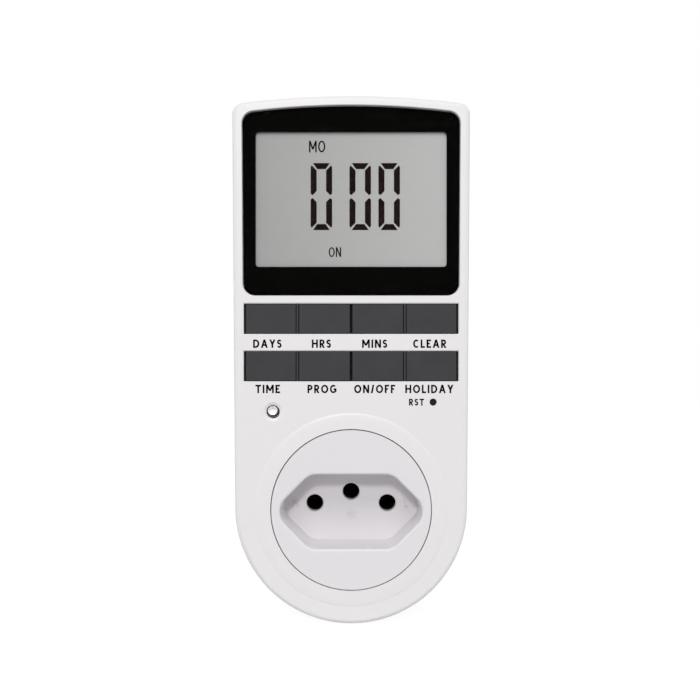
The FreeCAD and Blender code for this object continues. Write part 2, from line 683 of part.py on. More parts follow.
def put(item, x, depth, z):
    bind(item, "Placement.Base.x", x)
    bind(item, "Placement.Base.y", -Length.of(depth))
    bind(item, "Placement.Base.z", z)
    return item


def rod(name, x, z, back, front, radius):
    """A cylinder along the depth."""
    item = DOC.addObject("Part::Cylinder", name)
    item.Placement.Rotation = FreeCAD.Rotation(Vector(1, 0, 0), 90)
    bind(item, "Radius", radius)
    bind(item, "Height", front - back)
    return put(item, x, back, z)


def cross_rod(name, x, z, depth, radius, length, upright=False):
    """A cylinder that lies on a board, along X or upright along Z, about its middle."""
    item = DOC.addObject("Part::Cylinder", name)
    bind(item, "Radius", radius)
    bind(item, "Height", length)
    if upright:
        return put(item, x, depth, z - length / 2)
    item.Placement.Rotation = FreeCAD.Rotation(Vector(0, 1, 0), 90)
    return put(item, x - length / 2, depth, z)


def block(name, x, z, back, front, wide, high):
    """A box about a middle in X and Z, between two depths."""
    item = DOC.addObject("Part::Box", name)
    bind(item, "Length", wide)
    bind(item, "Width", front - back)
    bind(item, "Height", high)
    return put(item, x - wide / 2, front, z - high / 2)


def fuse(name, items):
    item = DOC.addObject("Part::MultiFuse", name)
    item.Shapes = items
    return item


def cut(name, base, tool):
    item = DOC.addObject("Part::Cut", name)
    item.Base = base
    item.Tool = tool
    return item


def group(name, items):
    """Like pieces that share one node, as separate solids."""
    item = DOC.addObject("Part::Compound", name)
    item.Links = items
    return node(item, name)


def small_screws(name, places, seat):
    """Screws driven from the back: heads behind the seat, shanks into the posts in front."""
    screws = []
    for index, (x, z) in enumerate(places):
        head = rod(f"{name}_head_{index}", x, z, seat - SIZE.small_head_depth, seat,
                   SIZE.small_head_radius)
        shank = rod(f"{name}_shank_{index}", x, z, seat, seat + SIZE.small_screw_length,
                    SIZE.small_screw_radius)
        screws.append(fuse(f"{name}_{index}", [head, shank]))
    return group(name, screws)


# Case

def front_cover():
    body = body_of("front_cover")
    shell = pad(body, PARTING, MAIN_FACE, case_outline)
    shell = round_corners(body, shell, case_corners(), PARTING, MAIN_FACE, SIZE.case_corner)
    rim = edges_in_plane(shell, MAIN_FACE, lambda box: True)
    shell = soften(body, "Fillet", shell, rim, SIZE.front_edge_round)
    seam = edges_in_plane(shell, PARTING, lambda box: True)
    soften(body, "Chamfer", shell, seam, SIZE.parting_bevel)
    raise_platform(body)
    pocket(body, PARTING, FRONT_INSIDE, case_outline, SIZE.case_wall)
    step = SIZE.case_wall - SIZE.tongue_wall - SIZE.tongue_gap
    pocket(body, PARTING, PARTING + SIZE.tongue_length + SIZE.tongue_gap, case_outline, step)
    add_front_posts(body)
    cut_window_seat(body)
    cut_key_windows(body)
    cut_socket_hole(body)
    cut_lamp_and_reset_holes(body)


def raise_platform(body):
    """The ring round the socket: a rounded shoulder, then a gentle slope up to the insert."""
    outer = SIZE.case_half - SIZE.platform_inset
    shoulder = outer - SIZE.platform_shoulder
    root = MAIN_FACE - SIZE.case_wall / 2
    profile = [(0, root), (outer, root), (outer, MAIN_FACE),
               (outer - SIZE.platform_shoulder / 3, MAIN_FACE + SIZE.platform_rise * 0.4),
               (shoulder, MAIN_FACE + SIZE.platform_rise * 0.7), (DISC_RADIUS, DISC_FACE),
               (0, DISC_FACE)]
    ring = turned(body, "Revolution", profile)
    DOC.recompute()
    bends = []
    for share in (0.4, 0.7):
        bends += edges_in_plane(ring, MAIN_FACE + SIZE.platform_rise * share, lambda box: True)
    soften(body, "Fillet", ring, bends, SIZE.platform_shoulder / 3)


def add_front_posts(body):
    pad(body, FRONT_BOARD, FRONT_INSIDE, circles, FRONT_POSTS, SIZE.front_post_radius)
    pad(body, PARTING, FRONT_INSIDE, circles, CASE_SCREWS, SIZE.case_post_radius)
    pad(body, SOCKET_BACK, FRONT_INSIDE, circles, CARRIER_POSTS, SIZE.rear_post_radius)
    pocket(body, FRONT_BOARD, FRONT_BOARD + SIZE.small_screw_length, circles, FRONT_POSTS,
           SIZE.small_screw_radius)
    pocket(body, PARTING, PARTING + SIZE.case_screw_grip + SIZE.fit_gap, circles, CASE_SCREWS,
           SIZE.case_screw_radius)
    pocket(body, SOCKET_BACK, SOCKET_BACK + SIZE.small_screw_length, circles, CARRIER_POSTS,
           SIZE.small_screw_radius)
    pad(body, DIVIDER_BACK, FRONT_INSIDE, circles, STAKES, SIZE.stake_radius)


def cut_window_seat(body):
    gap = SIZE.window_gap
    seat = pocket(body, MASK_BACK, MAIN_FACE, window_outline, gap)
    seat = round_corners(body, seat, window_corners(gap), MASK_BACK, MAIN_FACE,
                         SIZE.window_corner + gap)
    top = (WINDOW_TOP + gap).number
    half = (WINDOW_TOP_HALF + gap).number
    low = (WINDOW_LOW - gap).number
    rim = edges_in_plane(seat, MAIN_FACE, lambda box: box.ZMin > low - 0.02
                         and box.ZMax < top + 0.02 and box.XMax < half + 0.02)
    soften(body, "Chamfer", seat, rim, SIZE.window_rim_bevel)
    half = VIEW_HALF + SIZE.view_margin
    pocket(body, FRONT_INSIDE, MASK_BACK, rectangle, -half, half,
           VIEW_LOW - SIZE.view_margin, VIEW_TOP + SIZE.view_margin)


def key_window_boxes(half):
    return [(-half, half, row - SIZE.key_window_high / 2, row + SIZE.key_window_high / 2)
            for row in KEY_ROWS]


def cut_key_windows(body):
    boxes = key_window_boxes(KEY_WINDOW_HALF)
    windows = pocket(body, FRONT_INSIDE, MAIN_FACE, rectangles, boxes)
    DOC.recompute()
    top = boxes[0][3].number
    low = boxes[1][2].number
    half = KEY_WINDOW_HALF.number
    rim = edges_in_plane(windows, MAIN_FACE, lambda box: box.ZMin > low - 0.02
                         and box.ZMax < top + 0.02 and box.XMax < half + 0.02)
    soften(body, "Chamfer", windows, rim, SIZE.key_window_bevel)


def cut_socket_hole(body):
    pocket(body, FRONT_INSIDE, DISC_FACE, circle, 0, 0, DISC_RADIUS + SIZE.disc_gap)


def cut_lamp_and_reset_holes(body):
    pocket(body, FRONT_INSIDE, MAIN_FACE, circle, RESET_X, RESET_Z, SIZE.reset_hole)
    hole = pocket(body, FRONT_INSIDE, MAIN_FACE, circle, LED_X, LED_Z, SIZE.led_hole)
    DOC.recompute()
    x, z, reach = LED_X.number, LED_Z.number, SIZE.led_hole.number
    rim = edges_in_plane(hole, MAIN_FACE, lambda box: near(box.XMax, x + reach)
                         and near(box.ZMax, z + reach))
    dish = soften(body, "Chamfer", hole, rim, SIZE.led_dish_depth)
    dish.ChamferType = "Two distances"
    flat_on_face = SIZE.led_dish - SIZE.led_hole
    bind(dish, "Size", flat_on_face)
    bind(dish, "Size2", SIZE.led_dish_depth)
    DOC.recompute()


def rear_cover():
    body = body_of("rear_cover")
    shell = pad(body, REAR_FACE, PARTING, case_outline)
    shell = round_corners(body, shell, case_corners(), REAR_FACE, PARTING, SIZE.case_corner)
    rim = edges_in_plane(shell, REAR_FACE, lambda box: True)
    shell = soften(body, "Fillet", shell, rim, SIZE.rear_edge_round)
    seam = edges_in_plane(shell, PARTING, lambda box: True)
    soften(body, "Chamfer", shell, seam, SIZE.parting_bevel)
    add_plug_boss(body)
    pocket(body, REAR_INSIDE, PARTING, case_outline, SIZE.case_wall)
    hollow_plug_boss(body)
    step = SIZE.case_wall - SIZE.tongue_wall
    double_pad(body, PARTING - SIZE.case_wall, PARTING + SIZE.tongue_length,
               lambda sketch: case_outline(sketch, step),
               lambda sketch: case_outline(sketch, SIZE.case_wall))
    pad(body, REAR_INSIDE - SIZE.case_wall / 2, REAR_BOARD_BACK, circles, REAR_POSTS,
        SIZE.rear_post_radius)
    pocket(body, REAR_BOARD - SIZE.small_screw_length, REAR_BOARD_BACK, circles, REAR_POSTS,
           SIZE.small_screw_radius)
    add_case_columns(body)
    sink_label_field(body)


def sink_label_field(body):
    half, low, top = LABEL_HALF, SIZE.label_low, LABEL_TOP
    field = pocket(body, REAR_FACE, REAR_FACE + SIZE.label_sink, rectangle, -half, half, low, top)
    corners = [(-half, low), (half, low), (-half, top), (half, top)]
    round_corners(body, field, corners, REAR_FACE, REAR_FACE + SIZE.label_sink, SIZE.label_corner)


def add_plug_boss(body):
    boss = pad(body, Length(0), REAR_FACE + SIZE.case_wall, hexagon, PLUG_HALF,
               PLUG_FLAT, PLUG_HIGH)
    tips = [(PLUG_HALF, 0), (-PLUG_HALF, 0)]
    boss = round_corners(body, boss, tips, Length(0), REAR_FACE, SIZE.plug_boss_tip)
    DOC.recompute()
    half = PLUG_HALF.number
    rim = edges_in_plane(boss, Length(0), lambda box: box.XMax < half)
    soften(body, "Fillet", boss, rim, SIZE.plug_boss_round)


def hollow_plug_boss(body):
    wall = SIZE.case_wall
    pocket(body, SIZE.plug_boss_face, REAR_INSIDE, hexagon, PLUG_HALF - wall * 1.4,
           PLUG_FLAT - wall * 0.4, PLUG_HIGH - wall)
    pocket(body, Length(0), SIZE.plug_boss_face, circles, PIN_PLACES,
           SIZE.pin_root_radius + SIZE.fit_gap / 2)


def add_case_columns(body):
    bore = SIZE.case_head_radius + SIZE.case_head_gap
    pad(body, REAR_FACE + SIZE.case_wall / 2, PARTING, circles, CASE_SCREWS,
        bore + SIZE.case_column_wall)
    pocket(body, REAR_FACE, CASE_SEAT, circles, CASE_SCREWS, bore)
    pocket(body, CASE_SEAT, PARTING, circles, CASE_SCREWS,
           SIZE.case_screw_radius + SIZE.screw_hole_gap)


def case_screws():
    screws = []
    tip = PARTING + SIZE.case_screw_grip
    reach = SIZE.case_head_radius * 1.3
    for index, (x, z) in enumerate(CASE_SCREWS):
        head = rod(f"case_head_{index}", x, z, CASE_SEAT - SIZE.case_head_depth, CASE_SEAT,
                   SIZE.case_head_radius)
        shank = rod(f"case_shank_{index}", x, z, CASE_SEAT, tip, SIZE.case_screw_radius)
        whole = fuse(f"case_screw_{index}", [head, shank])
        back = CASE_SEAT - SIZE.case_head_depth
        floor = back + SIZE.case_head_depth * 0.6
        bars = [block(f"cross_{index}_{turn}", x, z, back, floor, wide, high)
                for turn, (wide, high) in enumerate([(reach, SIZE.screw_cross),
                                                     (SIZE.screw_cross, reach)])]
        cross = fuse(f"cross_{index}", bars)
        screws.append(cut(f"case_screw_cut_{index}", whole, cross))
    group("case_screws", screws)


# Display

def display_window():
    body = body_of("display_window")
    plate = pad(body, WINDOW_BACK, WINDOW_FRONT, window_outline)
    plate = round_corners(body, plate, window_corners(), WINDOW_BACK, WINDOW_FRONT,
                          SIZE.window_corner)
    rim = edges_in_plane(plate, WINDOW_FRONT, lambda box: True)
    soften(body, "Fillet", plate, rim, SIZE.window_sink)


def window_mask():
    body = body_of("window_mask")
    layer = pad(body, MASK_BACK, WINDOW_BACK, window_outline)
    layer = round_corners(body, layer, window_corners(), MASK_BACK, WINDOW_BACK, SIZE.window_corner)
    left, right, low, top = -VIEW_HALF, VIEW_HALF, VIEW_LOW, VIEW_TOP
    opening = pocket(body, MASK_BACK, WINDOW_BACK, rectangle, left, right, low, top)
    corners = [(left, low), (right, low), (left, top), (right, top)]
    round_corners(body, opening, corners, MASK_BACK, WINDOW_BACK, SIZE.view_corner)


def lcd_glass():
    body = body_of("lcd_glass")
    front = FRONT_INSIDE - SIZE.glass_front
    pad(body, front, FRONT_INSIDE, rectangle, -LCD_HALF, LCD_HALF, LCD_LOW, LCD_TOP)
    pad(body, front - SIZE.glass_rear, front, rectangle, -LCD_HALF, LCD_HALF,
        LCD_LOW + SIZE.glass_rear_inset, LCD_TOP)


def lcd_holder():
    """Frame from the shell to the board, with a plate behind the display and a slot for its strip."""
    body = body_of("lcd_holder")
    gap, wall = SIZE.fit_gap, SIZE.holder_wall
    half = LCD_HALF + gap
    glass_back = FRONT_INSIDE - SIZE.glass_front - SIZE.glass_rear
    plate_back = glass_back - SIZE.holder_plate
    pad(body, FRONT_BOARD, FRONT_INSIDE, rectangle, -half - wall, half + wall,
        LCD_LOW - gap - wall, LCD_TOP + gap + SIZE.holder_top_wall)
    pocket(body, glass_back, FRONT_INSIDE, rectangle, -half, half, LCD_LOW - gap, LCD_TOP + gap)
    pocket(body, FRONT_BOARD, plate_back, rectangle, -half, half,
           LCD_LOW + SIZE.glass_rear_inset + wall, LCD_TOP + gap)
    strip = LCD_HALF - SIZE.zebra_margin + gap
    pocket(body, FRONT_BOARD, glass_back, rectangle, -strip, strip, LCD_LOW - gap,
           LCD_LOW + SIZE.zebra_thick + gap)


def zebra_strip():
    block_node = block("zebra_strip", Length(0), LCD_LOW + SIZE.zebra_thick / 2, FRONT_BOARD,
                       FRONT_INSIDE - SIZE.glass_front, (LCD_HALF - SIZE.zebra_margin) * 2,
                       SIZE.zebra_thick)
    node(block_node, "zebra_strip")


# Keys

UPPER_KEYS = ["day", "hour", "minute", "clear"]
LOWER_KEYS = ["clock", "set", "output", "random"]


def key_edges():
    """Left and right edges of the four keys of a row."""
    outer = KEY_WINDOW_HALF - SIZE.key_end_gap
    rib_left = RIB_X - SIZE.rib_wide / 2 - SIZE.key_gap
    rib_right = RIB_X + SIZE.rib_wide / 2 + SIZE.key_gap
    middle = SIZE.key_middle_gap / 2
    return [(-outer, -rib_right), (-rib_left, -middle), (middle, rib_left), (rib_right, outer)]


def key_cap(name, left, right, row):
    body = body_of(f"{name}_key")
    high = SIZE.key_window_high / 2 - SIZE.key_gap
    cap = pad(body, KEY_BACK, KEY_FACE, rectangle, left, right, row - high, row + high)
    DOC.recompute()
    rim = edges_in_plane(cap, KEY_FACE, lambda box: True)
    soften(body, "Fillet", cap, rim, SIZE.key_round)
    reach = SIZE.key_window_high / 2 + SIZE.flange_high
    pad(body, KEY_BACK, KEY_FLANGE, rectangle, left, right, row - reach, row + reach)
    pad(body, PLUNGER_TIP, KEY_BACK, circle, (left + right) / 2, row, SIZE.stem_radius)


def key_plunger(name, x, row):
    item = rod(f"{name}_plunger", x, row, PLUNGER_TIP - SIZE.plunger_length, PLUNGER_TIP,
               SIZE.plunger_radius)
    node(item, f"{name}_plunger")


def key_switch(index, x, row):
    case = block(f"switch_case_{index}", x, row, FRONT_BOARD, SWITCH_FRONT, SIZE.switch_wide,
                 SIZE.switch_wide)
    bore = rod(f"switch_bore_{index}", x, row, SWITCH_FRONT - SIZE.switch_bore, SWITCH_FRONT,
               SIZE.plunger_radius + SIZE.plunger_gap)
    return cut(f"switch_{index}", case, bore)


def keys():
    switches = []
    for names, row in ((UPPER_KEYS, UPPER_ROW), (LOWER_KEYS, LOWER_ROW)):
        for name, (left, right) in zip(names, key_edges()):
            key_cap(name, left, right, row)
            key_plunger(name, (left + right) / 2, row)
            switches.append(key_switch(len(switches), (left + right) / 2, row))
    group("key_switches", switches)


def key_dividers():
    """Frame behind the shell. Ribs stand between its outer keys, and a bridge between the others."""
    body = body_of("key_dividers")
    half = KEY_WINDOW_HALF + SIZE.divider_side
    pad(body, DIVIDER_BACK, FRONT_INSIDE, rectangle, -half, half, DIVIDER_LOW, DIVIDER_TOP)
    window_half = KEY_WINDOW_HALF - SIZE.key_end_gap + SIZE.key_gap
    pocket(body, DIVIDER_BACK, FRONT_INSIDE, rectangles, key_window_boxes(window_half))
    pad(body, DIVIDER_BACK, FRONT_INSIDE, rectangles, key_window_boxes(SIZE.bridge_wide / 2))
    ribs = [(side * RIB_X - SIZE.rib_wide / 2, side * RIB_X + SIZE.rib_wide / 2,
             row - SIZE.key_window_high / 2, row + SIZE.key_window_high / 2)
            for side in (1, -1) for row in KEY_ROWS]
    pad(body, DIVIDER_BACK, MAIN_FACE - SIZE.rib_sink, rectangles, ribs)
    pocket(body, DIVIDER_BACK, FRONT_INSIDE, circles, STAKES, SIZE.stake_radius + SIZE.fit_gap)


def reset_button():
    x, z = RESET_X, RESET_Z
    collar = FRONT_INSIDE - SIZE.flange_gap
    stem = rod("reset_stem", x, z, PLUNGER_TIP - SIZE.plunger_length, PLUNGER_TIP,
               SIZE.plunger_radius)
    ring = rod("reset_collar", x, z, PLUNGER_TIP, collar, SIZE.reset_collar)
    tip = rod("reset_tip", x, z, collar, MAIN_FACE - SIZE.reset_sink, SIZE.reset_tip)
    node(fuse("reset_button", [stem, ring, tip]), "reset_button")


def reset_switch():
    x, z = RESET_X, RESET_Z
    case = block("reset_case", x, z, FRONT_BOARD, SWITCH_FRONT, SIZE.reset_switch_wide,
                 SIZE.reset_switch_wide)
    bore = rod("reset_bore", x, z, SWITCH_FRONT - SIZE.switch_bore, SWITCH_FRONT,
               SIZE.plunger_radius + SIZE.plunger_gap)
    node(cut("reset_switch", case, bore), "reset_switch")


# Lamp

def status_led():
    x, z = LED_X, LED_Z
    tip = MAIN_FACE + SIZE.led_proud
    base = tip - SIZE.led_length
    dome = DOC.addObject("Part::Sphere", "led_dome")
    bind(dome, "Radius", SIZE.led_radius)
    put(dome, x, tip - SIZE.led_radius, z)
    barrel = rod("led_barrel", x, z, base, tip - SIZE.led_radius, SIZE.led_radius)
    flange = rod("led_flange", x, z, base, base + SIZE.led_flange_depth, SIZE.led_flange)
    node(fuse("status_led", [dome, barrel, flange]), "status_led")
    leads = [block(f"led_lead_{side}", x + side * SIZE.led_lead_spacing / 2, z, FRONT_BOARD, base,
                   SIZE.led_lead, SIZE.led_lead) for side in (1, -1)]
    group("led_leads", leads)


# Socket

def socket_face():
    body = body_of("socket_face")
    wall = SIZE.recess_wall
    flange_front = FRONT_INSIDE
    flange_back = flange_front - SIZE.disc_flange_depth
    pad(body, flange_back, DISC_FACE, circle, 0, 0, DISC_RADIUS)
    pad(body, flange_back, flange_front, circle, 0, 0, DISC_RADIUS + SIZE.disc_flange)
    half, flat, high, middle = RECESS_HALF, RECESS_FLAT, SIZE.recess_high, -SIZE.recess_drop
    pad(body, SOCKET_BACK, flange_back, hexagon, half + wall * 0.7, flat + wall / 2, high + wall,
        middle)
    recess = pocket(body, RECESS_FLOOR, DISC_FACE, hexagon, half, flat, high, middle)
    bind(recess, "TaperAngle", -SIZE.recess_lean)
    tips = [(half, middle), (-half, middle)]
    others = [(side, middle + rise) for side in (flat, -flat) for rise in (high, -high)]
    for corners, radius in ((tips, SIZE.recess_tip), (others, SIZE.recess_corner)):
        DOC.recompute()
        edges = leaning_edges_at(recess, corners, RECESS_FLOOR, DISC_FACE)
        recess = soften(body, "Fillet", recess, edges, radius)
    mouth = edges_in_plane(recess, DISC_FACE, lambda box: box.XMax < half.number + 0.02
                           and box.XMin > -half.number - 0.02)
    recess = soften(body, "Fillet", recess, mouth, SIZE.recess_lip)
    holes = pocket(body, SOCKET_BACK, RECESS_FLOOR, circles, PIN_PLACES, SIZE.pin_entry_radius)
    DOC.recompute()
    reach = SIZE.pin_entry_radius.number * 2
    rims = edges_in_plane(holes, RECESS_FLOOR, lambda box: near(box.XLength, reach)
                          and near(box.ZLength, reach))
    soften(body, "Chamfer", holes, rims, SIZE.pin_entry_bevel)


def contact_carrier():
    body = body_of("contact_carrier")
    pad(body, CARRIER_BACK, SOCKET_BACK, rectangle, -SIZE.carrier_half, SIZE.carrier_half,
        -SIZE.carrier_low, SIZE.carrier_high)
    ear = CARRIER_POST_X + SIZE.rear_post_radius
    pad(body, SOCKET_BACK - SIZE.carrier_ear_depth, SOCKET_BACK, rectangle, -ear, ear,
        -SIZE.carrier_ear_high, SIZE.carrier_ear_high)
    pocket(body, CARRIER_BACK, SOCKET_BACK, circles, PIN_PLACES, SIZE.contact_outer + SIZE.fit_gap)
    pocket(body, SOCKET_BACK - SIZE.carrier_ear_depth, SOCKET_BACK, circles, CARRIER_POSTS,
           SIZE.small_screw_radius + SIZE.screw_hole_gap)


def contact(name, x, z):
    """A sprung sleeve with a slit, closed at the back by a flange that the strap is welded to."""
    front = SOCKET_BACK - SIZE.contact_recess
    sleeve = rod(f"{name}_sleeve", x, z, CARRIER_BACK, front, SIZE.contact_outer)
    flange = rod(f"{name}_flange", x, z, CARRIER_BACK - SIZE.contact_flange_depth, CARRIER_BACK,
                 SIZE.contact_flange)
    inside = CARRIER_BACK + SIZE.contact_base
    bore = rod(f"{name}_bore", x, z, inside, front, SIZE.contact_outer - SIZE.contact_wall)
    slit = block(f"{name}_slit", x, z, inside, front, SIZE.contact_outer * 3, SIZE.contact_slit)
    solid = fuse(f"{name}_solid", [sleeve, flange])
    space = fuse(f"{name}_space", [bore, slit])
    node(cut(name, solid, space), name)


def plug_pin(name, x, z):
    """A solid pin with a rounded tip, a flange inside the boss and a tail for its strap."""
    body = body_of(name)
    face = SIZE.plug_boss_face
    back = face + SIZE.pin_flange_depth
    shaft = pad(body, -SIZE.pin_length, Length(0), circle, x, z, SIZE.pin_radius)
    DOC.recompute()
    tip = edges_in_plane(shaft, -SIZE.pin_length, lambda box: True)
    soften(body, "Fillet", shaft, tip, SIZE.pin_tip)
    pad(body, Length(0), face, circle, x, z, SIZE.pin_root_radius)
    pad(body, face, back, circle, x, z, SIZE.pin_flange_radius)
    pad(body, back, PIN_TAIL_END, circle, x, z, SIZE.pin_tail_radius)


def pin_retainer():
    body = body_of("pin_retainer")
    wall = SIZE.case_wall
    inset = SIZE.fit_gap
    back = SIZE.plug_boss_face
    front = back + SIZE.pin_flange_depth + SIZE.retainer_depth
    pad(body, back, front, hexagon, PLUG_HALF - wall * 1.4 - inset * 1.4,
        PLUG_FLAT - wall * 0.4 - inset * 0.4, PLUG_HIGH - wall - inset)
    pocket(body, back, back + SIZE.pin_flange_depth, circles, PIN_PLACES,
           SIZE.pin_flange_radius + SIZE.fit_gap)
    pocket(body, back, front, circles, PIN_PLACES, SIZE.pin_tail_radius + SIZE.fit_gap)


def strap(name, x, z):
    back = CARRIER_BACK - SIZE.contact_flange_depth
    item = block(name, x, z, PIN_TAIL_END, back, SIZE.strap_thick, SIZE.strap_wide)
    node(item, name)


def lead(name, x, start):
    """An insulated lead in a plane of constant x: from its terminal, up, and on to the board."""
    bend, radius, plane = SIZE.lead_bend, SIZE.lead_radius, LEAD_PLANE
    top = SIZE.rear_board_low + SIZE.lead_margin
    toward_front = 1 if start.number < plane.number else -1
    turn = plane - toward_front * bend
    low, high = (start, turn) if toward_front > 0 else (turn, start)
    pieces = [rod(f"{name}_start", x, Length(0), low, high, radius),
              elbow(f"{name}_low_bend", x, turn, bend, 270 if toward_front > 0 else 0),
              rise(f"{name}_rise", x, plane, bend, top - bend),
              elbow(f"{name}_top_bend", x, plane + bend, top - bend, 90),
              rod(f"{name}_end", x, top, plane + bend, REAR_BOARD_BACK, radius)]
    return pieces


def rise(name, x, depth, low, high):
    item = DOC.addObject("Part::Cylinder", name)
    bind(item, "Radius", SIZE.lead_radius)
    bind(item, "Height", high - low)
    return put(item, x, depth, low)


def elbow(name, x, depth, height, turn):
    """A quarter bend about an axis along X. The turn is where it starts, from the front upwards."""
    item = DOC.addObject("Part::Torus", name)
    bind(item, "Radius1", SIZE.lead_bend)
    bind(item, "Radius2", SIZE.lead_radius)
    item.Angle3 = 90
    upright = FreeCAD.Rotation(Vector(0, 1, 0), 90)
    item.Placement.Rotation = FreeCAD.Rotation(Vector(1, 0, 0), turn).multiply(upright)
    return put(item, x, depth, height)


def mains_leads():
    """The live lead in, the live lead out beside it and the neutral lead."""
    flange_back = CARRIER_BACK - SIZE.contact_flange_depth
    leads = [fuse("live_in", lead("live_in", PIN_X, PIN_TAIL_END)),
             fuse("live_out", lead("live_out", PIN_X + SIZE.lead_side_step, flange_back)),
             fuse("neutral_tap", lead("neutral_tap", -PIN_X - SIZE.lead_side_step, flange_back))]
    group("mains_leads", leads)


# Boards and what they carry

def control_board():
    body = body_of("control_board")
    half = FRONT_BOARD_HALF
    pad(body, FRONT_BOARD_BACK, FRONT_BOARD, rectangle, -half, half, FRONT_BOARD_LOW,
        FRONT_BOARD_TOP)
    pocket(body, FRONT_BOARD_BACK, FRONT_BOARD, circle, 0, 0,
           DISC_RADIUS + SIZE.disc_flange + SIZE.front_board_cut)
    pocket(body, FRONT_BOARD_BACK, FRONT_BOARD, circles, FRONT_POSTS,
           SIZE.small_screw_radius + SIZE.screw_hole_gap)


def power_board():
    body = body_of("power_board")
    half = REAR_BOARD_HALF
    pad(body, REAR_BOARD_BACK, REAR_BOARD, rectangle, -half, half, SIZE.rear_board_low,
        REAR_BOARD_TOP)
    pocket(body, REAR_BOARD_BACK, REAR_BOARD, circles, REAR_POSTS,
           SIZE.small_screw_radius + SIZE.screw_hole_gap)


def power_board_screws():
    """Driven from the front, so the heads are in front of the board."""
    screws = []
    for index, (x, z) in enumerate(REAR_POSTS):
        head = rod(f"power_head_{index}", x, z, REAR_BOARD, REAR_BOARD + SIZE.small_head_depth,
                   SIZE.small_head_radius)
        tip = REAR_BOARD - SIZE.small_screw_length + SIZE.fit_gap
        shank = rod(f"power_shank_{index}", x, z, tip, REAR_BOARD, SIZE.small_screw_radius)
        screws.append(fuse(f"power_screw_{index}", [head, shank]))
    group("power_board_screws", screws)


def row_of(name, count, make):
    return group(name, [make(index) for index in range(int(count.number))])


def control_board_parts():
    back = FRONT_BOARD_BACK
    chip = block("controller_chip", Length(0), SIZE.chip_z, back - SIZE.chip_thick, back,
                 SIZE.chip_wide, SIZE.chip_wide)
    node(chip, "controller_chip")
    crystal = cross_rod("clock_crystal", SIZE.crystal_x, SIZE.chip_z, back - SIZE.crystal_radius,
                        SIZE.crystal_radius, SIZE.crystal_length, upright=True)
    node(crystal, "clock_crystal")
    cell_front = back - SIZE.tab_thick
    cell_back = cell_front - SIZE.cell_thick
    cell_z = FRONT_BOARD_TOP - SIZE.cell_drop
    cell = rod("backup_cell", SIZE.cell_x, cell_z, cell_back, cell_front, SIZE.cell_radius)
    node(cell, "backup_cell")
    reach = SIZE.cell_radius + SIZE.tab_reach
    tab_z = cell_z - reach / 2
    inner = block("inner_tab", SIZE.cell_x, tab_z, cell_front, back, SIZE.tab_wide, reach)
    outer = block("outer_tab", SIZE.cell_x, tab_z, cell_back - SIZE.tab_thick, cell_back,
                  SIZE.tab_wide, reach)
    leg = block("outer_leg", SIZE.cell_x + SIZE.tab_wide, cell_z - reach - SIZE.tab_thick / 2,
                cell_back - SIZE.tab_thick, back, SIZE.tab_wide * 3, SIZE.tab_thick)
    group("cell_tabs", [inner, fuse("outer_tab_bent", [outer, leg])])


def board_link_wires():
    def wire(index):
        return rod(f"link_wire_{index}", SIZE.link_x + index * SIZE.link_pitch,
                   REAR_BOARD_TOP - SIZE.link_drop, REAR_BOARD, FRONT_BOARD_BACK, SIZE.link_radius)
    row_of("board_link_wires", SIZE.link_count, wire)


def power_board_parts():
    face = REAR_BOARD
    node(block("relay", SIZE.relay_x, SIZE.relay_z, face, face + SIZE.relay_high, SIZE.relay_wide,
               SIZE.relay_long), "relay")
    node(block("dropper_capacitor", SIZE.dropper_x, SIZE.dropper_z, face, face + SIZE.dropper_tall,
               SIZE.dropper_wide, SIZE.dropper_high), "dropper_capacitor")
    node(rod("smoothing_capacitor", SIZE.smoother_x, SIZE.smoother_z, face,
             face + SIZE.smoother_tall, SIZE.smoother_radius), "smoothing_capacitor")
    node(cross_rod("varistor", SIZE.varistor_x, SIZE.varistor_z, face + SIZE.varistor_radius,
                   SIZE.varistor_radius, SIZE.varistor_thick), "varistor")
    fuse_z = REAR_BOARD_TOP - SIZE.fuse_drop
    node(rod("input_fuse", SIZE.fuse_x, fuse_z, face, face + SIZE.fuse_tall, SIZE.fuse_radius),
         "input_fuse")
    relay_top = SIZE.relay_z + SIZE.relay_long / 2
    fuse_low = fuse_z - SIZE.fuse_radius

    def diode(index):
        return cross_rod(f"diode_{index}", SIZE.diode_x + index * SIZE.diode_pitch, SIZE.diode_z,
                         face + SIZE.diode_radius, SIZE.diode_radius, SIZE.diode_length, True)

    def resistor(index):
        return cross_rod(f"resistor_{index}", SIZE.resistor_x + index * SIZE.resistor_pitch,
                         (relay_top + fuse_low) / 2, face + SIZE.resistor_radius,
                         SIZE.resistor_radius, SIZE.resistor_length, True)
    row_of("rectifier_diodes", SIZE.diode_count, diode)
    row_of("board_resistors", SIZE.resistor_count, resistor)


def build():
    front_cover()
    rear_cover()
    case_screws()
    display_window()
    window_mask()
    lcd_glass()
    lcd_holder()
    zebra_strip()
    keys()
    key_dividers()
    reset_button()
    reset_switch()
    status_led()
    socket_face()
    contact_carrier()
    small_screws("carrier_screws", CARRIER_POSTS, SOCKET_BACK - SIZE.carrier_ear_depth)
    for name, (x, z) in zip(("live", "neutral", "earth"), PIN_PLACES):
        contact(f"{name}_contact", x, z)
        plug_pin(f"{name}_pin", x, z)
    pin_retainer()
    for name, (x, z) in zip(("neutral_strap", "earth_strap"), PIN_PLACES[1:]):
        strap(name, x, z)
    mains_leads()
    control_board()
    small_screws("control_board_screws", FRONT_POSTS, FRONT_BOARD_BACK)
    control_board_parts()
    board_link_wires()
    power_board()
    power_board_screws()
    power_board_parts()


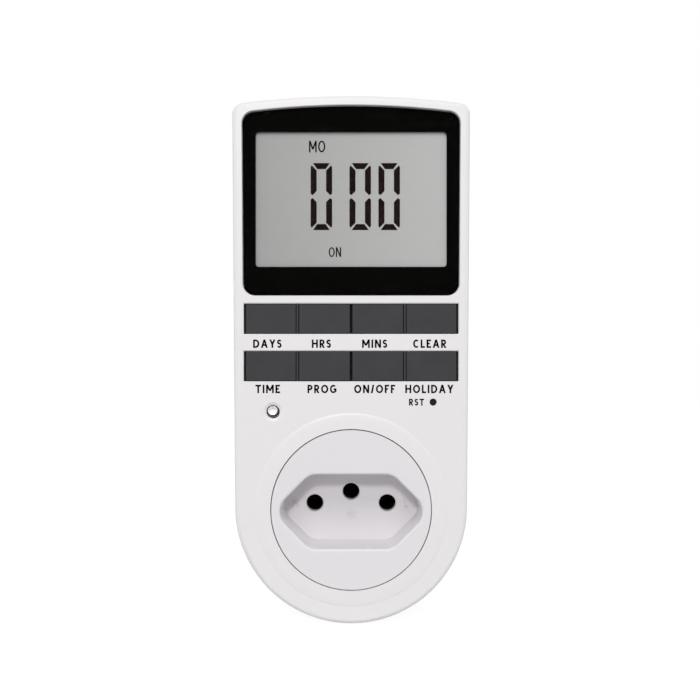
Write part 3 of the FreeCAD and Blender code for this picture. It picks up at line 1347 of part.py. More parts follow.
def check_and_export():
    DOC.recompute()
    for item in DOC.Objects:
        if "Invalid" in item.State or "Error" in item.State:
            raise RuntimeError(f"{item.Label} failed: {item.State}")
    for item in NODES:
        if item.Shape.isNull() or not item.Shape.isValid():
            raise RuntimeError(f"{item.Label} has no valid shape")
    os.makedirs("parts", exist_ok=True)
    for item in NODES:
        item.Shape.exportStep(f"parts/{item.Label}.step")
        solids = len(item.Shape.Solids)
        print(f"{item.Label}: {solids} solid(s), {item.Shape.Volume:.1f} mm3")


build()
check_and_export()
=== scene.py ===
"""Looks of a plug-in digital timer with a display, eight keys, a status lamp and a socket.

X runs to the right, Z up and -Y towards the user. Blender works in metres, and the tables here are
in millimetres. A depth counts from the plug's face towards the user, so a depth of 50 is y = -0.05.
"""
import json
import math

import bmesh
import bpy
from bpy.props import FloatProperty, FloatVectorProperty, PointerProperty, StringProperty
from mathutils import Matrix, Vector
from mathutils.geometry import delaunay_2d_cdt


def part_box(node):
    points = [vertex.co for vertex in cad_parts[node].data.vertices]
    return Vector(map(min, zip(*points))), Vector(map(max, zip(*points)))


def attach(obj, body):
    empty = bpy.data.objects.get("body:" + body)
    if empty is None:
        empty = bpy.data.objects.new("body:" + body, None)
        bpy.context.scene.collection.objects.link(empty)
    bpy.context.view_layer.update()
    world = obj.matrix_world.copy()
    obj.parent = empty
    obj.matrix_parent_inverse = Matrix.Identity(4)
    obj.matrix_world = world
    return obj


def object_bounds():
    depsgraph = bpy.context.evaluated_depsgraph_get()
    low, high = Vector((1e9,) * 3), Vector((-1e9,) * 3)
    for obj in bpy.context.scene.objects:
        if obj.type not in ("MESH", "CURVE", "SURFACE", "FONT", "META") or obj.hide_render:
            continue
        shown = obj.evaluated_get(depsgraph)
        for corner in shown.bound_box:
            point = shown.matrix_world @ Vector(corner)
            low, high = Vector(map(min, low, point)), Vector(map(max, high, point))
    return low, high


bl_info = {
    "name": "Plug-in Digital Timer",
    "version": (1, 0, 0),
    "blender": (4, 5, 0),
    "location": "3D View > Sidebar > Timer",
    "description": "Finishes, display marks, legends, lamp and stage of a plug-in digital timer",
    "category": "Object",
}

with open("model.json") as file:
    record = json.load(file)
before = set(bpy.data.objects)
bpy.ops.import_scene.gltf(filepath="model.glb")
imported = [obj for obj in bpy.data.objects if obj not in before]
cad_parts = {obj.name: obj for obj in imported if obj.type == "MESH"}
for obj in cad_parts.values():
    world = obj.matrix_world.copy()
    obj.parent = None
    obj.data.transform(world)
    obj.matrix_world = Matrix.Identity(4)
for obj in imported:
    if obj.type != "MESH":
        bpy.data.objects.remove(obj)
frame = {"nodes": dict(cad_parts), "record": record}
CAD_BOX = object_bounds()
NODES = frame["nodes"]
SLOT_OF = {part["node"]: part["material_slot"] for part in frame["record"]["subparts"]}

MM = 0.001
BODY = "timer"


def front_of(node):
    """Depth of the front of a CAD piece, in millimetres."""
    return -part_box(node)[0].y / MM


def back_of(node):
    """Depth of the back of a CAD piece, in millimetres."""
    return -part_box(node)[1].y / MM


def middle_of(node):
    """Middle of a CAD piece across the face, in millimetres."""
    low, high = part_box(node)
    return (low.x + high.x) / 2 / MM, (low.z + high.z) / 2 / MM


# Depths of the faces that carry print and marks, in millimetres
WINDOW_SINK = 0.2
SOCKET_FLOOR_THICK = 2.5
MAIN_FACE = front_of("display_window") + WINDOW_SINK
RECESS_FLOOR = back_of("socket_face") + SOCKET_FLOOR_THICK
DISPLAY_FACE = front_of("lcd_glass")
INK_THICK = 0.02
INK_ROOT = 0.01
EMBOSS = 0.3


# Sizes, words and colours that a user would change

def tint(name, about, default):
    return FloatVectorProperty(name=name, description=about, default=default, size=3,
                               subtype="COLOR", min=0.0, max=1.0)


def length(name, about, millimetres):
    return FloatProperty(name=name, description=about, default=millimetres * MM, min=0.0,
                         subtype="DISTANCE", unit="LENGTH", precision=5)


def word(name, about, default):
    return StringProperty(name=name, description=about, default=default, maxlen=12)


class TimerColours(bpy.types.PropertyGroup):
    """Colours of the pieces that show."""
    case: tint("Case", "Moulded white of both shells", (0.805, 0.79, 0.796))
    socket: tint("Socket", "Cooler white of the socket insert", (0.777, 0.756, 0.779))
    key: tint("Keys", "Dark grey of the keys and of the ribs between them", (0.046, 0.045, 0.05))
    print_black: tint("Print", "Black of the window's border and of the legends",
                      (0.003, 0.003, 0.0028))
    display_left: tint("Display left", "Grey at the left of the display", (0.42, 0.417, 0.418))
    display_right: tint("Display right", "Grey at the right of the display", (0.56, 0.556, 0.559))
    mark: tint("Marks", "Dark segments of the display", (0.018, 0.01, 0.0107))
    nickel: tint("Pins", "Nickel plate of the pins", (0.66, 0.63, 0.58))


class TimerDisplay(bpy.types.PropertyGroup):
    """What the display shows."""
    digits: StringProperty(name="Digits", description="One hour digit and two minute digits",
                           default="000", maxlen=3)
    day: word("Day", "Day of the week, at the top", "MO")
    output: word("Output", "State of the socket, at the bottom", "ON")
    digit_wide: length("Digit width", "Width of a digit", 5.43)
    digit_high: length("Digit height", "Height of a digit", 16.93)
    bar: length("Segment", "Thickness of a segment", 1.52)
    slit: length("Slit", "Gap between two segments", 0.35)
    digit_middle: length("Digit middle", "Height of the middle of the digits", 78.84)


class TimerLegends(bpy.types.PropertyGroup):
    """Words printed on the case."""
    day: word("First key", "Under the first key of the upper row", "DAYS")
    hour: word("Second key", "Under the second key of the upper row", "HRS")
    minute: word("Third key", "Under the third key of the upper row", "MINS")
    clear: word("Fourth key", "Under the fourth key of the upper row", "CLEAR")
    clock: word("Fifth key", "Under the first key of the lower row", "TIME")
    set: word("Sixth key", "Under the second key of the lower row", "PROG")
    output: word("Seventh key", "Under the third key of the lower row", "ON/OFF")
    random: word("Eighth key", "Under the fourth key of the lower row", "HOLIDAY")
    reset: word("Reset", "Beside the reset hole", "RST")
    cap_high: length("Letter height", "Height of the capital letters", 2.1)
    small_high: length("Small letter height", "Height of the letters beside the reset hole", 1.7)


class TimerStage(bpy.types.PropertyGroup):
    """Camera and lamps of the studio."""
    camera_y: FloatProperty(name="Camera distance",
                            description="Camera in front of the plug's face",
                            default=0.293, unit="LENGTH")
    camera_z: FloatProperty(name="Camera height", description="Camera above the pins",
                            default=0.04007, unit="LENGTH")
    camera_x: FloatProperty(name="Camera side", description="Camera to the right of the middle",
                            default=-0.00028, unit="LENGTH", precision=5)
    lens: FloatProperty(name="Lens", description="Focal length", default=50.0, unit="CAMERA")
    sky: FloatProperty(name="Room light", description="Strength of the even light of the room",
                       default=0.27, min=0.0)
    key_power: FloatProperty(name="Key lamp", description="Power of the lamp above the camera",
                             default=28.5, unit="POWER")
    top_power: FloatProperty(name="Top lamp", description="Power of the wide lamp overhead",
                             default=24.0, unit="POWER")
    side_power: FloatProperty(name="Side lamps", description="Power of each wide lamp at a side",
                              default=11.0, unit="POWER")
    back_power: FloatProperty(name="Back lamp", description="Power of the wide lamp behind",
                              default=16.0, unit="POWER")


# Finishes

# Sockets of a Mix node of colours, which carry the same names as those of other kinds
MIX_SHARE, MIX_FIRST, MIX_SECOND, MIX_RESULT = 0, 6, 7, 2
WHITE = (1.0, 1.0, 1.0, 1.0)


class Finish:
    """Nodes of one material. Patterns lie on the piece's own coordinates."""

    def __init__(self, name):
        self.material = bpy.data.materials.new(name)
        self.material.use_nodes = True
        self.tree = self.material.node_tree
        self.shader = self.tree.nodes["Principled BSDF"]
        self.output = self.tree.nodes["Material Output"]
        self.place = self.add("ShaderNodeTexCoord").outputs["Object"]

    def add(self, kind, inputs=None, **settings):
        node = self.tree.nodes.new(kind)
        for key, value in settings.items():
            setattr(node, key, value)
        for key, value in (inputs or {}).items():
            self.join(value, node.inputs[key])
        return node

    def join(self, value, socket):
        if isinstance(value, bpy.types.NodeSocket):
            self.tree.links.new(value, socket)
        else:
            socket.default_value = value

    def set(self, **values):
        """Sets or links sockets of the main shader: base_color=... feeds Base Color."""
        names = {"base_color": "Base Color", "roughness": "Roughness", "metallic": "Metallic",
                 "shine": "Specular IOR Level", "ior": "IOR", "normal": "Normal",
                 "transmission": "Transmission Weight"}
        for key, value in values.items():
            if isinstance(value, tuple):
                value = (*value, 1.0)
            self.join(value, self.shader.inputs[names[key]])

    def noise(self, size, detail=2.0, stretch=(1.0, 1.0, 1.0)):
        """Soft spots of about this size in millimetres, drawn out along an axis by a stretch."""
        spread = self.add("ShaderNodeMapping", {"Vector": self.place,
                                                "Scale": tuple(1.0 / part for part in stretch)})
        return self.add("ShaderNodeTexNoise", {"Vector": spread.outputs[0],
                                               "Scale": 1.0 / (size * MM),
                                               "Detail": detail}).outputs["Fac"]

    def cells(self, size):
        """Distance from the middle of cells of this size in millimetres."""
        return self.add("ShaderNodeTexVoronoi", {"Vector": self.place,
                                                 "Scale": 1.0 / (size * MM)}).outputs["Distance"]

    def along(self, axis, low, high):
        """From 0 to 1 between two places on an axis, in millimetres."""
        parts = self.add("ShaderNodeSeparateXYZ", {"Vector": self.place})
        return self.spread(parts.outputs[axis], 0.0, 1.0, low * MM, high * MM)

    def spread(self, value, low, high, start=0.0, end=1.0):
        """Takes a value between start and end to one between low and high."""
        return self.add("ShaderNodeMapRange", {"Value": value, "From Min": start, "From Max": end,
                                               "To Min": low, "To Max": high}).outputs["Result"]

    def blend(self, share, first, second):
        """Mixes two colours."""
        node = self.add("ShaderNodeMix", data_type="RGBA")
        self.join(share, node.inputs[MIX_SHARE])
        for socket, colour in ((MIX_FIRST, first), (MIX_SECOND, second)):
            self.join((*colour, 1.0) if isinstance(colour, tuple) else colour,
                      node.inputs[socket])
        return node.outputs[MIX_RESULT]

    def mottle(self, colour, value, amount):
        """A colour that varies lighter and darker by an amount."""
        return self.blend(value, scaled(colour, 1 - amount), scaled(colour, 1 + amount))

    def bands(self, value, stops):
        """Steps of colour along a value, each given by where it starts."""
        node = self.add("ShaderNodeValToRGB", {"Fac": value})
        ramp = node.color_ramp
        ramp.interpolation = "CONSTANT"
        while len(ramp.elements) < len(stops):
            ramp.elements.new(0.5)
        for element, (start, colour) in zip(ramp.elements, stops):
            element.position = start
            element.color = (*colour, 1.0)
        return node.outputs["Color"]

    def bump(self, height, depth):
        """Relief of this depth in millimetres."""
        return self.add("ShaderNodeBump", {"Height": height, "Strength": 1.0,
                                           "Distance": depth * MM}).outputs["Normal"]


def scaled(colour, share):
    return tuple(min(1.0, part * share) for part in colour)


def moulded(name, colour, roughness, grain=0.3, depth=0.002, clouds=0.012, shine=0.35):
    """Injection moulded plastic: faint clouds of tone, uneven gloss and a fine spark grain."""
    made = Finish(name)
    made.set(base_color=made.mottle(colour, made.noise(16.0, 3.0), clouds),
             roughness=made.spread(made.noise(1.6, 3.0), roughness - 0.05, roughness + 0.05),
             normal=made.bump(made.noise(grain, 1.0), depth),
             shine=shine)
    return made.material


def case_white(colours):
    return moulded("case_plastic", tuple(colours.case), 0.38)


def socket_white(colours):
    return moulded("socket_plastic", tuple(colours.socket), 0.42, grain=0.25, shine=0.2)


def socket_relief(colours):
    """The socket's own plastic, a little greyer on its raised letters, as painted shade that shows
    their relief.
    """
    return moulded("socket_relief", scaled(tuple(colours.socket), 0.9), 0.42, grain=0.25,
                   shine=0.2)


def inner_white(_):
    return moulded("inner_plastic", (0.66, 0.65, 0.6), 0.5, clouds=0.04)


def key_grey(colours):
    """Dark moulded grey with fine pale specks, and painted shade: the walls of the narrow slots
    round keys are painted black.
    """
    made = Finish("key_plastic")
    base = tuple(colours.key)
    clouds = made.mottle(base, made.noise(5.0, 5.0), 0.16)
    specks = made.spread(made.cells(0.55), 1.0, 0.0, 0.0, 0.22)
    rare = made.spread(made.noise(2.6, 2.0), 0.0, 0.55, 0.58, 0.74)
    share = made.add("ShaderNodeMath", {0: specks, 1: rare}, operation="MULTIPLY").outputs[0]
    # Painted shade: beside the slot between the middle keys and the slots at the row ends, the
    # colour goes near black where the slot walls lie in shadow.
    across = made.add("ShaderNodeSeparateXYZ", {"Vector": made.place}).outputs["X"]
    aside = made.add("ShaderNodeMath", {0: across}, operation="ABSOLUTE").outputs[0]
    inner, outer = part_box("minute_key")[0].x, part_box("clear_key")[1].x
    near, far = 0.01 * MM, 0.03 * MM
    middle_slot_shade = made.spread(aside, 1.0, 0.0, inner + near, inner + far)
    end_slot_shade = made.spread(aside, 0.0, 1.0, outer - far, outer - near)
    slots = made.add("ShaderNodeMath", {0: middle_slot_shade, 1: end_slot_shade}, operation="MAXIMUM")
    face = made.blend(share, clouds, scaled(base, 4.0))
    made.set(base_color=made.blend(slots.outputs[0], face, (0.002, 0.002, 0.002)),
             roughness=made.spread(made.noise(0.5, 3.0), 0.42, 0.6),
             normal=made.bump(made.noise(0.22, 2.0), 0.004),
             shine=0.12)
    return made.material


def clear_plate(_):
    """Thin clear plate: it passes light straight through and mirrors a little at a slant."""
    made = Finish("clear_plate")
    through = made.add("ShaderNodeBsdfTransparent", {"Color": (0.975, 0.978, 0.975, 1.0)})
    haze = made.spread(made.noise(7.0, 4.0), 0.02, 0.06)
    gloss = made.add("ShaderNodeBsdfGlossy", {"Roughness": haze})
    slant = made.add("ShaderNodeLayerWeight", {"Blend": 0.5}).outputs["Facing"]
    curved = made.add("ShaderNodeMath", {0: slant, 1: 3.0}, operation="POWER").outputs[0]
    share = made.spread(curved, 0.0006, 0.7)
    mixed = made.add("ShaderNodeMixShader", {0: share, 1: through.outputs[0],
                                             2: gloss.outputs[0]})
    made.tree.nodes.remove(made.shader)
    made.join(mixed.outputs[0], made.output.inputs["Surface"])
    return made.material


def printed_black(colours):
    """Screen print with faint paler streaks and small changes of gloss."""
    made = Finish("black_print")
    base = tuple(colours.print_black)
    streaks = made.spread(made.noise(2.2, 4.0, stretch=(6.0, 1.0, 0.6)), 0.0, 1.0, 0.6, 0.8)
    made.set(base_color=made.blend(streaks, base, scaled(base, 2.6)),
             roughness=made.spread(made.noise(1.2, 3.0), 0.4, 0.6),
             normal=made.bump(made.noise(0.15), 0.001),
             shine=0.0)
    return made.material


def display_grey(colours):
    """Reflective back of a liquid crystal cell: paler to the right, with a brushed reflector."""
    made = Finish("display_cell")
    reach = 24.0
    sideways = made.blend(made.along("X", -reach, reach), tuple(colours.display_left),
                          tuple(colours.display_right))
    brushed = made.noise(0.35, 2.0, stretch=(9.0, 1.0, 1.0))
    base = made.add("ShaderNodeMix", {MIX_SHARE: 0.05, MIX_FIRST: sideways, MIX_SECOND: brushed},
                    data_type="RGBA", blend_type="OVERLAY")
    made.set(base_color=base.outputs[MIX_RESULT],
             roughness=made.spread(made.noise(3.0), 0.45, 0.55),
             normal=made.bump(brushed, 0.001), shine=0.2)
    return made.material


def display_mark(colours):
    """Switched segments: nearly black, a little uneven."""
    made = Finish("display_mark")
    made.set(base_color=made.mottle(tuple(colours.mark), made.noise(1.4, 3.0), 0.35),
             roughness=made.spread(made.noise(0.6), 0.5, 0.65), shine=0.0)
    return made.material


def lamp_clear(_):
    """Clear epoxy that lets lamps through, with faint flow lines."""
    made = Finish("lamp_epoxy")
    made.set(base_color=(0.97, 0.975, 0.98), transmission=1.0, ior=1.5,
             roughness=made.spread(made.noise(0.5, 2.0), 0.01, 0.05),
             normal=made.bump(made.noise(0.8, 1.0), 0.003))
    through = made.add("ShaderNodeBsdfTransparent")
    path = made.add("ShaderNodeLightPath")
    mixed = made.add("ShaderNodeMixShader", {0: path.outputs["Is Shadow Ray"],
                                             1: made.shader.outputs[0], 2: through.outputs[0]})
    made.join(mixed.outputs[0], made.output.inputs["Surface"])
    return made.material


def metal(name, colour, roughness, stretch=(1.0, 1.0, 1.0), lines=0.25, depth=0.002):
    """Worn metal: tone, gloss and fine lines vary along one direction."""
    made = Finish(name)
    drawn = made.noise(lines, 3.0, stretch)
    made.set(base_color=made.mottle(colour, made.noise(3.0, 4.0), 0.08), metallic=1.0,
             roughness=made.spread(drawn, roughness - 0.07, roughness + 0.1),
             normal=made.bump(drawn, depth))
    return made.material


def pin_nickel(colours):
    """Bright nickel with fine turned rings."""
    return metal("pin_nickel", tuple(colours.nickel), 0.24, stretch=(30.0, 1.0, 30.0))


def screw_steel(_):
    return metal("screw_steel", (0.52, 0.51, 0.5), 0.34, lines=0.4)


def tinned_steel(_):
    return metal("tinned_steel", (0.72, 0.72, 0.7), 0.3, stretch=(1.0, 12.0, 1.0))


def contact_brass(_):
    """Plain brass outside. The bores of the sleeves are painted near black, as painted shade deep
    in the holes.
    """
    made = Finish("contact_brass")
    drawn = made.noise(0.25, 3.0, (1.0, 10.0, 1.0))
    depth = made.add("ShaderNodeVectorMath", {0: made.place, 1: (1.0, 0.0, 1.0)},
                     operation="MULTIPLY").outputs[0]
    nearest = None
    for name in ("live_contact", "neutral_contact", "earth_contact"):
        x, z = middle_of(name)
        away = made.add("ShaderNodeVectorMath", {0: depth, 1: (x * MM, 0.0, z * MM)},
                        operation="DISTANCE").outputs["Value"]
        if nearest is not None:
            away = made.add("ShaderNodeMath", {0: nearest, 1: away},
                            operation="MINIMUM").outputs[0]
        nearest = away
    # Painted shade: up to this distance from a contact's axis the bore is painted near black and
    # not metallic, fading to brass beyond.
    bore_shade, plain = 2.48 * MM, 2.56 * MM
    outside = made.spread(nearest, 0.0, 1.0, bore_shade, plain)
    bright = made.mottle((0.72, 0.5, 0.2), made.noise(3.0, 4.0), 0.08)
    made.set(base_color=made.blend(outside, (0.006, 0.005, 0.005), bright), metallic=outside,
             roughness=made.spread(drawn, 0.3, 0.5), normal=made.bump(drawn, 0.002),
             shine=0.05)
    return made.material


def switch_black(_):
    return moulded("switch_plastic", (0.012, 0.012, 0.013), 0.5, depth=0.004, clouds=0.2,
                   shine=0.1)


def lamp_dark(_):
    """Black frame inside and round the lamp."""
    return moulded("lamp_frame", (0.004, 0.004, 0.004), 0.5, clouds=0.2, shine=0.1)


def lamp_bright(_):
    """Bright pressed cup of the lamp, a little cloudy."""
    made = Finish("lamp_cup")
    made.set(base_color=made.mottle((0.66, 0.66, 0.65), made.noise(0.5, 3.0), 0.14),
             metallic=0.6, roughness=made.spread(made.noise(0.3, 3.0), 0.25, 0.5),
             normal=made.bump(made.noise(0.35, 2.0), 0.02), shine=0.5)
    return made.material


def strip_rubber(_):
    """Rubber strip with the carbon layers of its contacts."""
    made = Finish("strip_rubber")
    wave = made.add("ShaderNodeTexWave", {"Vector": made.place, "Scale": 600.0, "Distortion": 0.4},
                    bands_direction="X")
    layers = made.spread(wave.outputs["Fac"], 0.0, 1.0, 0.55, 0.65)
    made.set(base_color=made.blend(layers, (0.55, 0.2, 0.2), (0.02, 0.02, 0.02)),
             roughness=made.spread(made.noise(0.4), 0.6, 0.75), shine=0.3)
    return made.material


def lead_blue(_):
    return moulded("lead_sleeve", (0.02, 0.07, 0.4), 0.4, grain=0.5, clouds=0.1)


def link_grey(_):
    return moulded("link_sleeve", (0.3, 0.3, 0.31), 0.45, grain=0.5, clouds=0.08)


def board_green(_):
    """Solder mask over copper tracks, with the weave of the laminate."""
    made = Finish("circuit_board")
    tracks = made.add("ShaderNodeTexBrick", {"Vector": upright(made), "Scale": 180.0,
                                             "Mortar Size": 0.06, "Color1": (1, 1, 1, 1),
                                             "Color2": (0.6, 0.6, 0.6, 1),
                                             "Mortar": (0, 0, 0, 1)}, offset=0.37)
    weave = made.noise(0.6, 2.0)
    made.set(base_color=made.blend(tracks.outputs["Color"], (0.03, 0.2, 0.05),
                                   (0.012, 0.1, 0.03)),
             roughness=made.spread(weave, 0.3, 0.45),
             normal=made.bump(tracks.outputs["Fac"], 0.03), shine=0.5)
    return made.material


def upright(made):
    """Coordinates with the board's own X and Z in place of X and Y."""
    parts = made.add("ShaderNodeSeparateXYZ", {"Vector": made.place})
    return made.add("ShaderNodeCombineXYZ", {"X": parts.outputs["X"],
                                             "Y": parts.outputs["Z"]}).outputs[0]


def chip_black(_):
    return moulded("chip_epoxy", (0.018, 0.018, 0.018), 0.6, grain=0.12, depth=0.006, clouds=0.25)


def relay_blue(_):
    return moulded("relay_case", (0.01, 0.06, 0.34), 0.32, clouds=0.1)


def capacitor_yellow(_):
    return moulded("capacitor_case", (0.62, 0.36, 0.03), 0.36, clouds=0.1)


def sleeve_black(_):
    """Shrink sleeve with a pale stripe down one side."""
    made = Finish("capacitor_sleeve")
    dark_end, stripe_start = 14.4, 14.5
    stripe = made.along("X", dark_end, stripe_start)
    made.set(base_color=made.blend(stripe, (0.02, 0.022, 0.03), (0.45, 0.45, 0.47)),
             roughness=made.spread(made.noise(0.8), 0.28, 0.42),
             normal=made.bump(made.noise(1.2), 0.01), shine=0.5)
    return made.material


def varistor_blue(_):
    return moulded("varistor_coat", (0.02, 0.11, 0.36), 0.34, grain=1.2, depth=0.05, clouds=0.15)


def resistor_tan(_):
    """Lacquered body with four coloured rings."""
    made = Finish("resistor_coat")
    tan = (0.52, 0.34, 0.17)
    low_end, high_end = 60.2, 66.6
    rings = made.bands(made.along("Z", low_end, high_end), [
        (0.0, tan), (0.2, (0.35, 0.02, 0.02)), (0.28, tan), (0.4, (0.02, 0.02, 0.02)),
        (0.48, tan), (0.6, (0.4, 0.12, 0.01)), (0.68, tan), (0.82, (0.5, 0.36, 0.1)),
        (0.9, tan)])
    made.set(base_color=rings, roughness=made.spread(made.noise(0.7), 0.25, 0.4),
             normal=made.bump(made.noise(0.9), 0.02))
    return made.material


FINISH_OF_SLOT = {
    "case_white": case_white, "socket_white": socket_white, "inner_white": inner_white,
    "window_clear": clear_plate, "mask_black": printed_black, "lcd_grey": display_grey,
    "key_grey": key_grey, "led_clear": lamp_clear, "switch_black": switch_black,
    "strip_rubber": strip_rubber, "screw_steel": screw_steel, "tinned_steel": tinned_steel,
    "pin_nickel": pin_nickel, "contact_brass": contact_brass, "lead_blue": lead_blue,
    "link_grey": link_grey, "board_green": board_green, "chip_black": chip_black,
    "relay_blue": relay_blue, "capacitor_yellow": capacitor_yellow, "sleeve_black": sleeve_black,
    "varistor_blue": varistor_blue, "resistor_tan": resistor_tan,
}
FINISHED = {}


def finish_for(make, scene):
    """The material that a finish function makes, made once."""
    if make not in FINISHED:
        FINISHED[make] = make(scene.timer_colours)
    return FINISHED[make]


def dress(names, scene):
    """Gives CAD pieces the finish of their material slot."""
    for name in names:
        if name not in NODES:
            raise RuntimeError(f"the frame has no piece named {name}")
        material = finish_for(FINISH_OF_SLOT[SLOT_OF[name]], scene)
        piece = NODES[name]
        if not piece.material_slots:
            piece.data.materials.append(material)
        for place in piece.material_slots:
            place.material = material


# Meshes

def add_piece(name, mesh, make, scene):
    """Adds a mesh as a piece that moves with the timer's own body."""
    piece = bpy.data.objects.new(name, mesh)
    scene.collection.objects.link(piece)
    mesh.materials.append(finish_for(make, scene))
    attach(piece, BODY)
    return piece


def mesh_from(shape, name):
    bmesh.ops.recalc_face_normals(shape, faces=shape.faces)
    mesh = bpy.data.meshes.new(name)
    shape.to_mesh(mesh)
    shape.free()
    return mesh


def plates(name, outlines, back, front):
    """Flat outlines in X and Z, in millimetres, joined and thickened between two depths."""
    points, rings = [], []
    for outline in outlines:
        turn = sum(start[0] * end[1] - end[0] * start[1]
                   for start, end in zip(outline, outline[1:] + outline[:1]))
        rings.append(list(range(len(points), len(points) + len(outline))))
        points += [Vector(point) for point in (outline if turn > 0 else reversed(outline))]
    spots, _, faces, _, _, sources = delaunay_2d_cdt(points, [], rings, 1, 1e-5, True)
    faces = [face for face, source in zip(faces, sources) if source]
    shape = bmesh.new()
    layers = [[shape.verts.new((spot.x * MM, -depth * MM, spot.y * MM)) for spot in spots]
              for depth in (back, front)]
    sides = {}
    for face in faces:
        for layer in layers:
            shape.faces.new([layer[index] for index in face])
        for edge in zip(face, face[1:] + face[:1]):
            sides.setdefault(tuple(sorted(edge)), []).append(edge)
    for (start, end), *others in sides.values():
        if not others:
            shape.faces.new((layers[0][start], layers[0][end], layers[1][end], layers[1][start]))
    bmesh.ops.delete(shape, geom=[vert for vert in shape.verts if not vert.link_faces],
                     context="VERTS")
    return mesh_from(shape, name)


# Lettering. A quarter of a bow has this many straight pieces, and thin words have a stroke of this
# share of their height.
BOW_STEPS = 6
THIN_LINE = 0.13

# Letters, each with its width as a share of its height, and the middle lines of its strokes on a
# square from 0 to 1. Four numbers are a straight stroke, and six are a bow: its middle, its radii
# and the angles where it starts and ends.
STEM = (0, 0, 0, 1)
LETTERS = {
    "A": (0.80, [(0, 0, 0.5, 1), (1, 0, 0.5, 1), (0.16, 0.3, 0.84, 0.3)]),
    "B": (0.62, [STEM, (0, 1, 0.5, 1), (0, 0.52, 0.5, 0.52), (0, 0, 0.5, 0),
                 (0.5, 0.76, 0.44, 0.24, -90, 90), (0.5, 0.26, 0.5, 0.26, -90, 90)]),
    "C": (0.70, [(0.56, 0.5, 0.56, 0.5, 50, 310)]),
    "D": (0.74, [STEM, (0, 1, 0.38, 1), (0, 0, 0.38, 0), (0.38, 0.5, 0.62, 0.5, -90, 90)]),
    "E": (0.54, [STEM, (0, 0, 1, 0), (0, 0.52, 0.88, 0.52), (0, 1, 1, 1)]),
    "F": (0.52, [STEM, (0, 0.5, 0.86, 0.5), (0, 1, 1, 1)]),
    "G": (0.78, [(0.52, 0.5, 0.52, 0.5, 48, 315), (1, 0.08, 1, 0.46), (0.58, 0.46, 1, 0.46)]),
    "H": (0.72, [STEM, (1, 0, 1, 1), (0, 0.52, 1, 0.52)]),
    "I": (0.145, [STEM]),
    "J": (0.46, [(1, 0.28, 1, 1), (0.45, 0.28, 0.55, 0.28, 200, 360)]),
    "K": (0.66, [STEM, (0, 0.36, 0.92, 1), (0.3, 0.55, 1, 0)]),
    "L": (0.50, [STEM, (0, 0, 1, 0)]),
    "M": (0.92, [STEM, (1, 0, 1, 1), (0, 1, 0.5, 0.22), (1, 1, 0.5, 0.22)]),
    "N": (0.74, [STEM, (1, 0, 1, 1), (0, 1, 1, 0)]),
    "O": (0.86, [(0.5, 0.5, 0.5, 0.5, 0, 360)]),
    "P": (0.60, [STEM, (0, 1, 0.45, 1), (0, 0.44, 0.45, 0.44),
                 (0.45, 0.72, 0.55, 0.28, -90, 90)]),
    "Q": (0.86, [(0.5, 0.5, 0.5, 0.5, 0, 360), (0.58, 0.3, 1, -0.08)]),
    "R": (0.62, [STEM, (0, 1, 0.45, 1), (0, 0.46, 0.45, 0.46),
                 (0.45, 0.73, 0.5, 0.27, -90, 90), (0.4, 0.46, 1, 0)]),
    "S": (0.54, [(0.5, 0.76, 0.5, 0.24, 25, 270), (0.5, 0.26, 0.5, 0.26, -155, 90)]),
    "T": (0.66, [(0.5, 0, 0.5, 1), (0, 1, 1, 1)]),
    "U": (0.70, [(0, 0.36, 0, 1), (1, 0.36, 1, 1), (0.5, 0.36, 0.5, 0.36, 180, 360)]),
    "V": (0.76, [(0, 1, 0.5, 0), (1, 1, 0.5, 0)]),
    "W": (1.08, [(0, 1, 0.26, 0), (0.5, 0.92, 0.26, 0), (0.5, 0.92, 0.74, 0), (1, 1, 0.74, 0)]),
    "X": (0.72, [(0, 0, 1, 1), (0, 1, 1, 0)]),
    "Y": (0.72, [(0.5, 0, 0.5, 0.46), (0, 1, 0.5, 0.42), (1, 1, 0.5, 0.42)]),
    "Z": (0.64, [(0, 0, 1, 0), (0, 1, 1, 1), (0, 0, 1, 1)]),
    "/": (0.40, [(0, 0, 1, 1)]),
    " ": (0.30, []),
}


def straight(x0, z0, x1, z1, line):
    """Outline of a straight stroke. It is cut off level, or upright if it is a flat one."""
    across, rise = x1 - x0, z1 - z0
    long = math.hypot(across, rise)
    if abs(rise) > abs(across) * 0.5:
        half = line / 2 * long / abs(rise)
        return [(x0 - half, z0), (x0 + half, z0), (x1 + half, z1), (x1 - half, z1)]
    half = line / 2 * long / abs(across)
    return [(x0, z0 - half), (x1, z1 - half), (x1, z1 + half), (x0, z0 + half)]


def bow(x, z, wide, high, start, end, line):
    """Outlines of the quarters, or less, of a bow about a middle."""
    parts = math.ceil((end - start) / 90)
    outlines = []
    for part in range(parts):
        turns = [math.radians(start + (end - start) * (part + step / BOW_STEPS) / parts)
                 for step in range(BOW_STEPS + 1)]
        outlines.append([(x + (wide + line / 2) * math.cos(turn),
                          z + (high + line / 2) * math.sin(turn)) for turn in turns]
                        + [(x + (wide - line / 2) * math.cos(turn),
                            z + (high - line / 2) * math.sin(turn)) for turn in reversed(turns)])
    return outlines


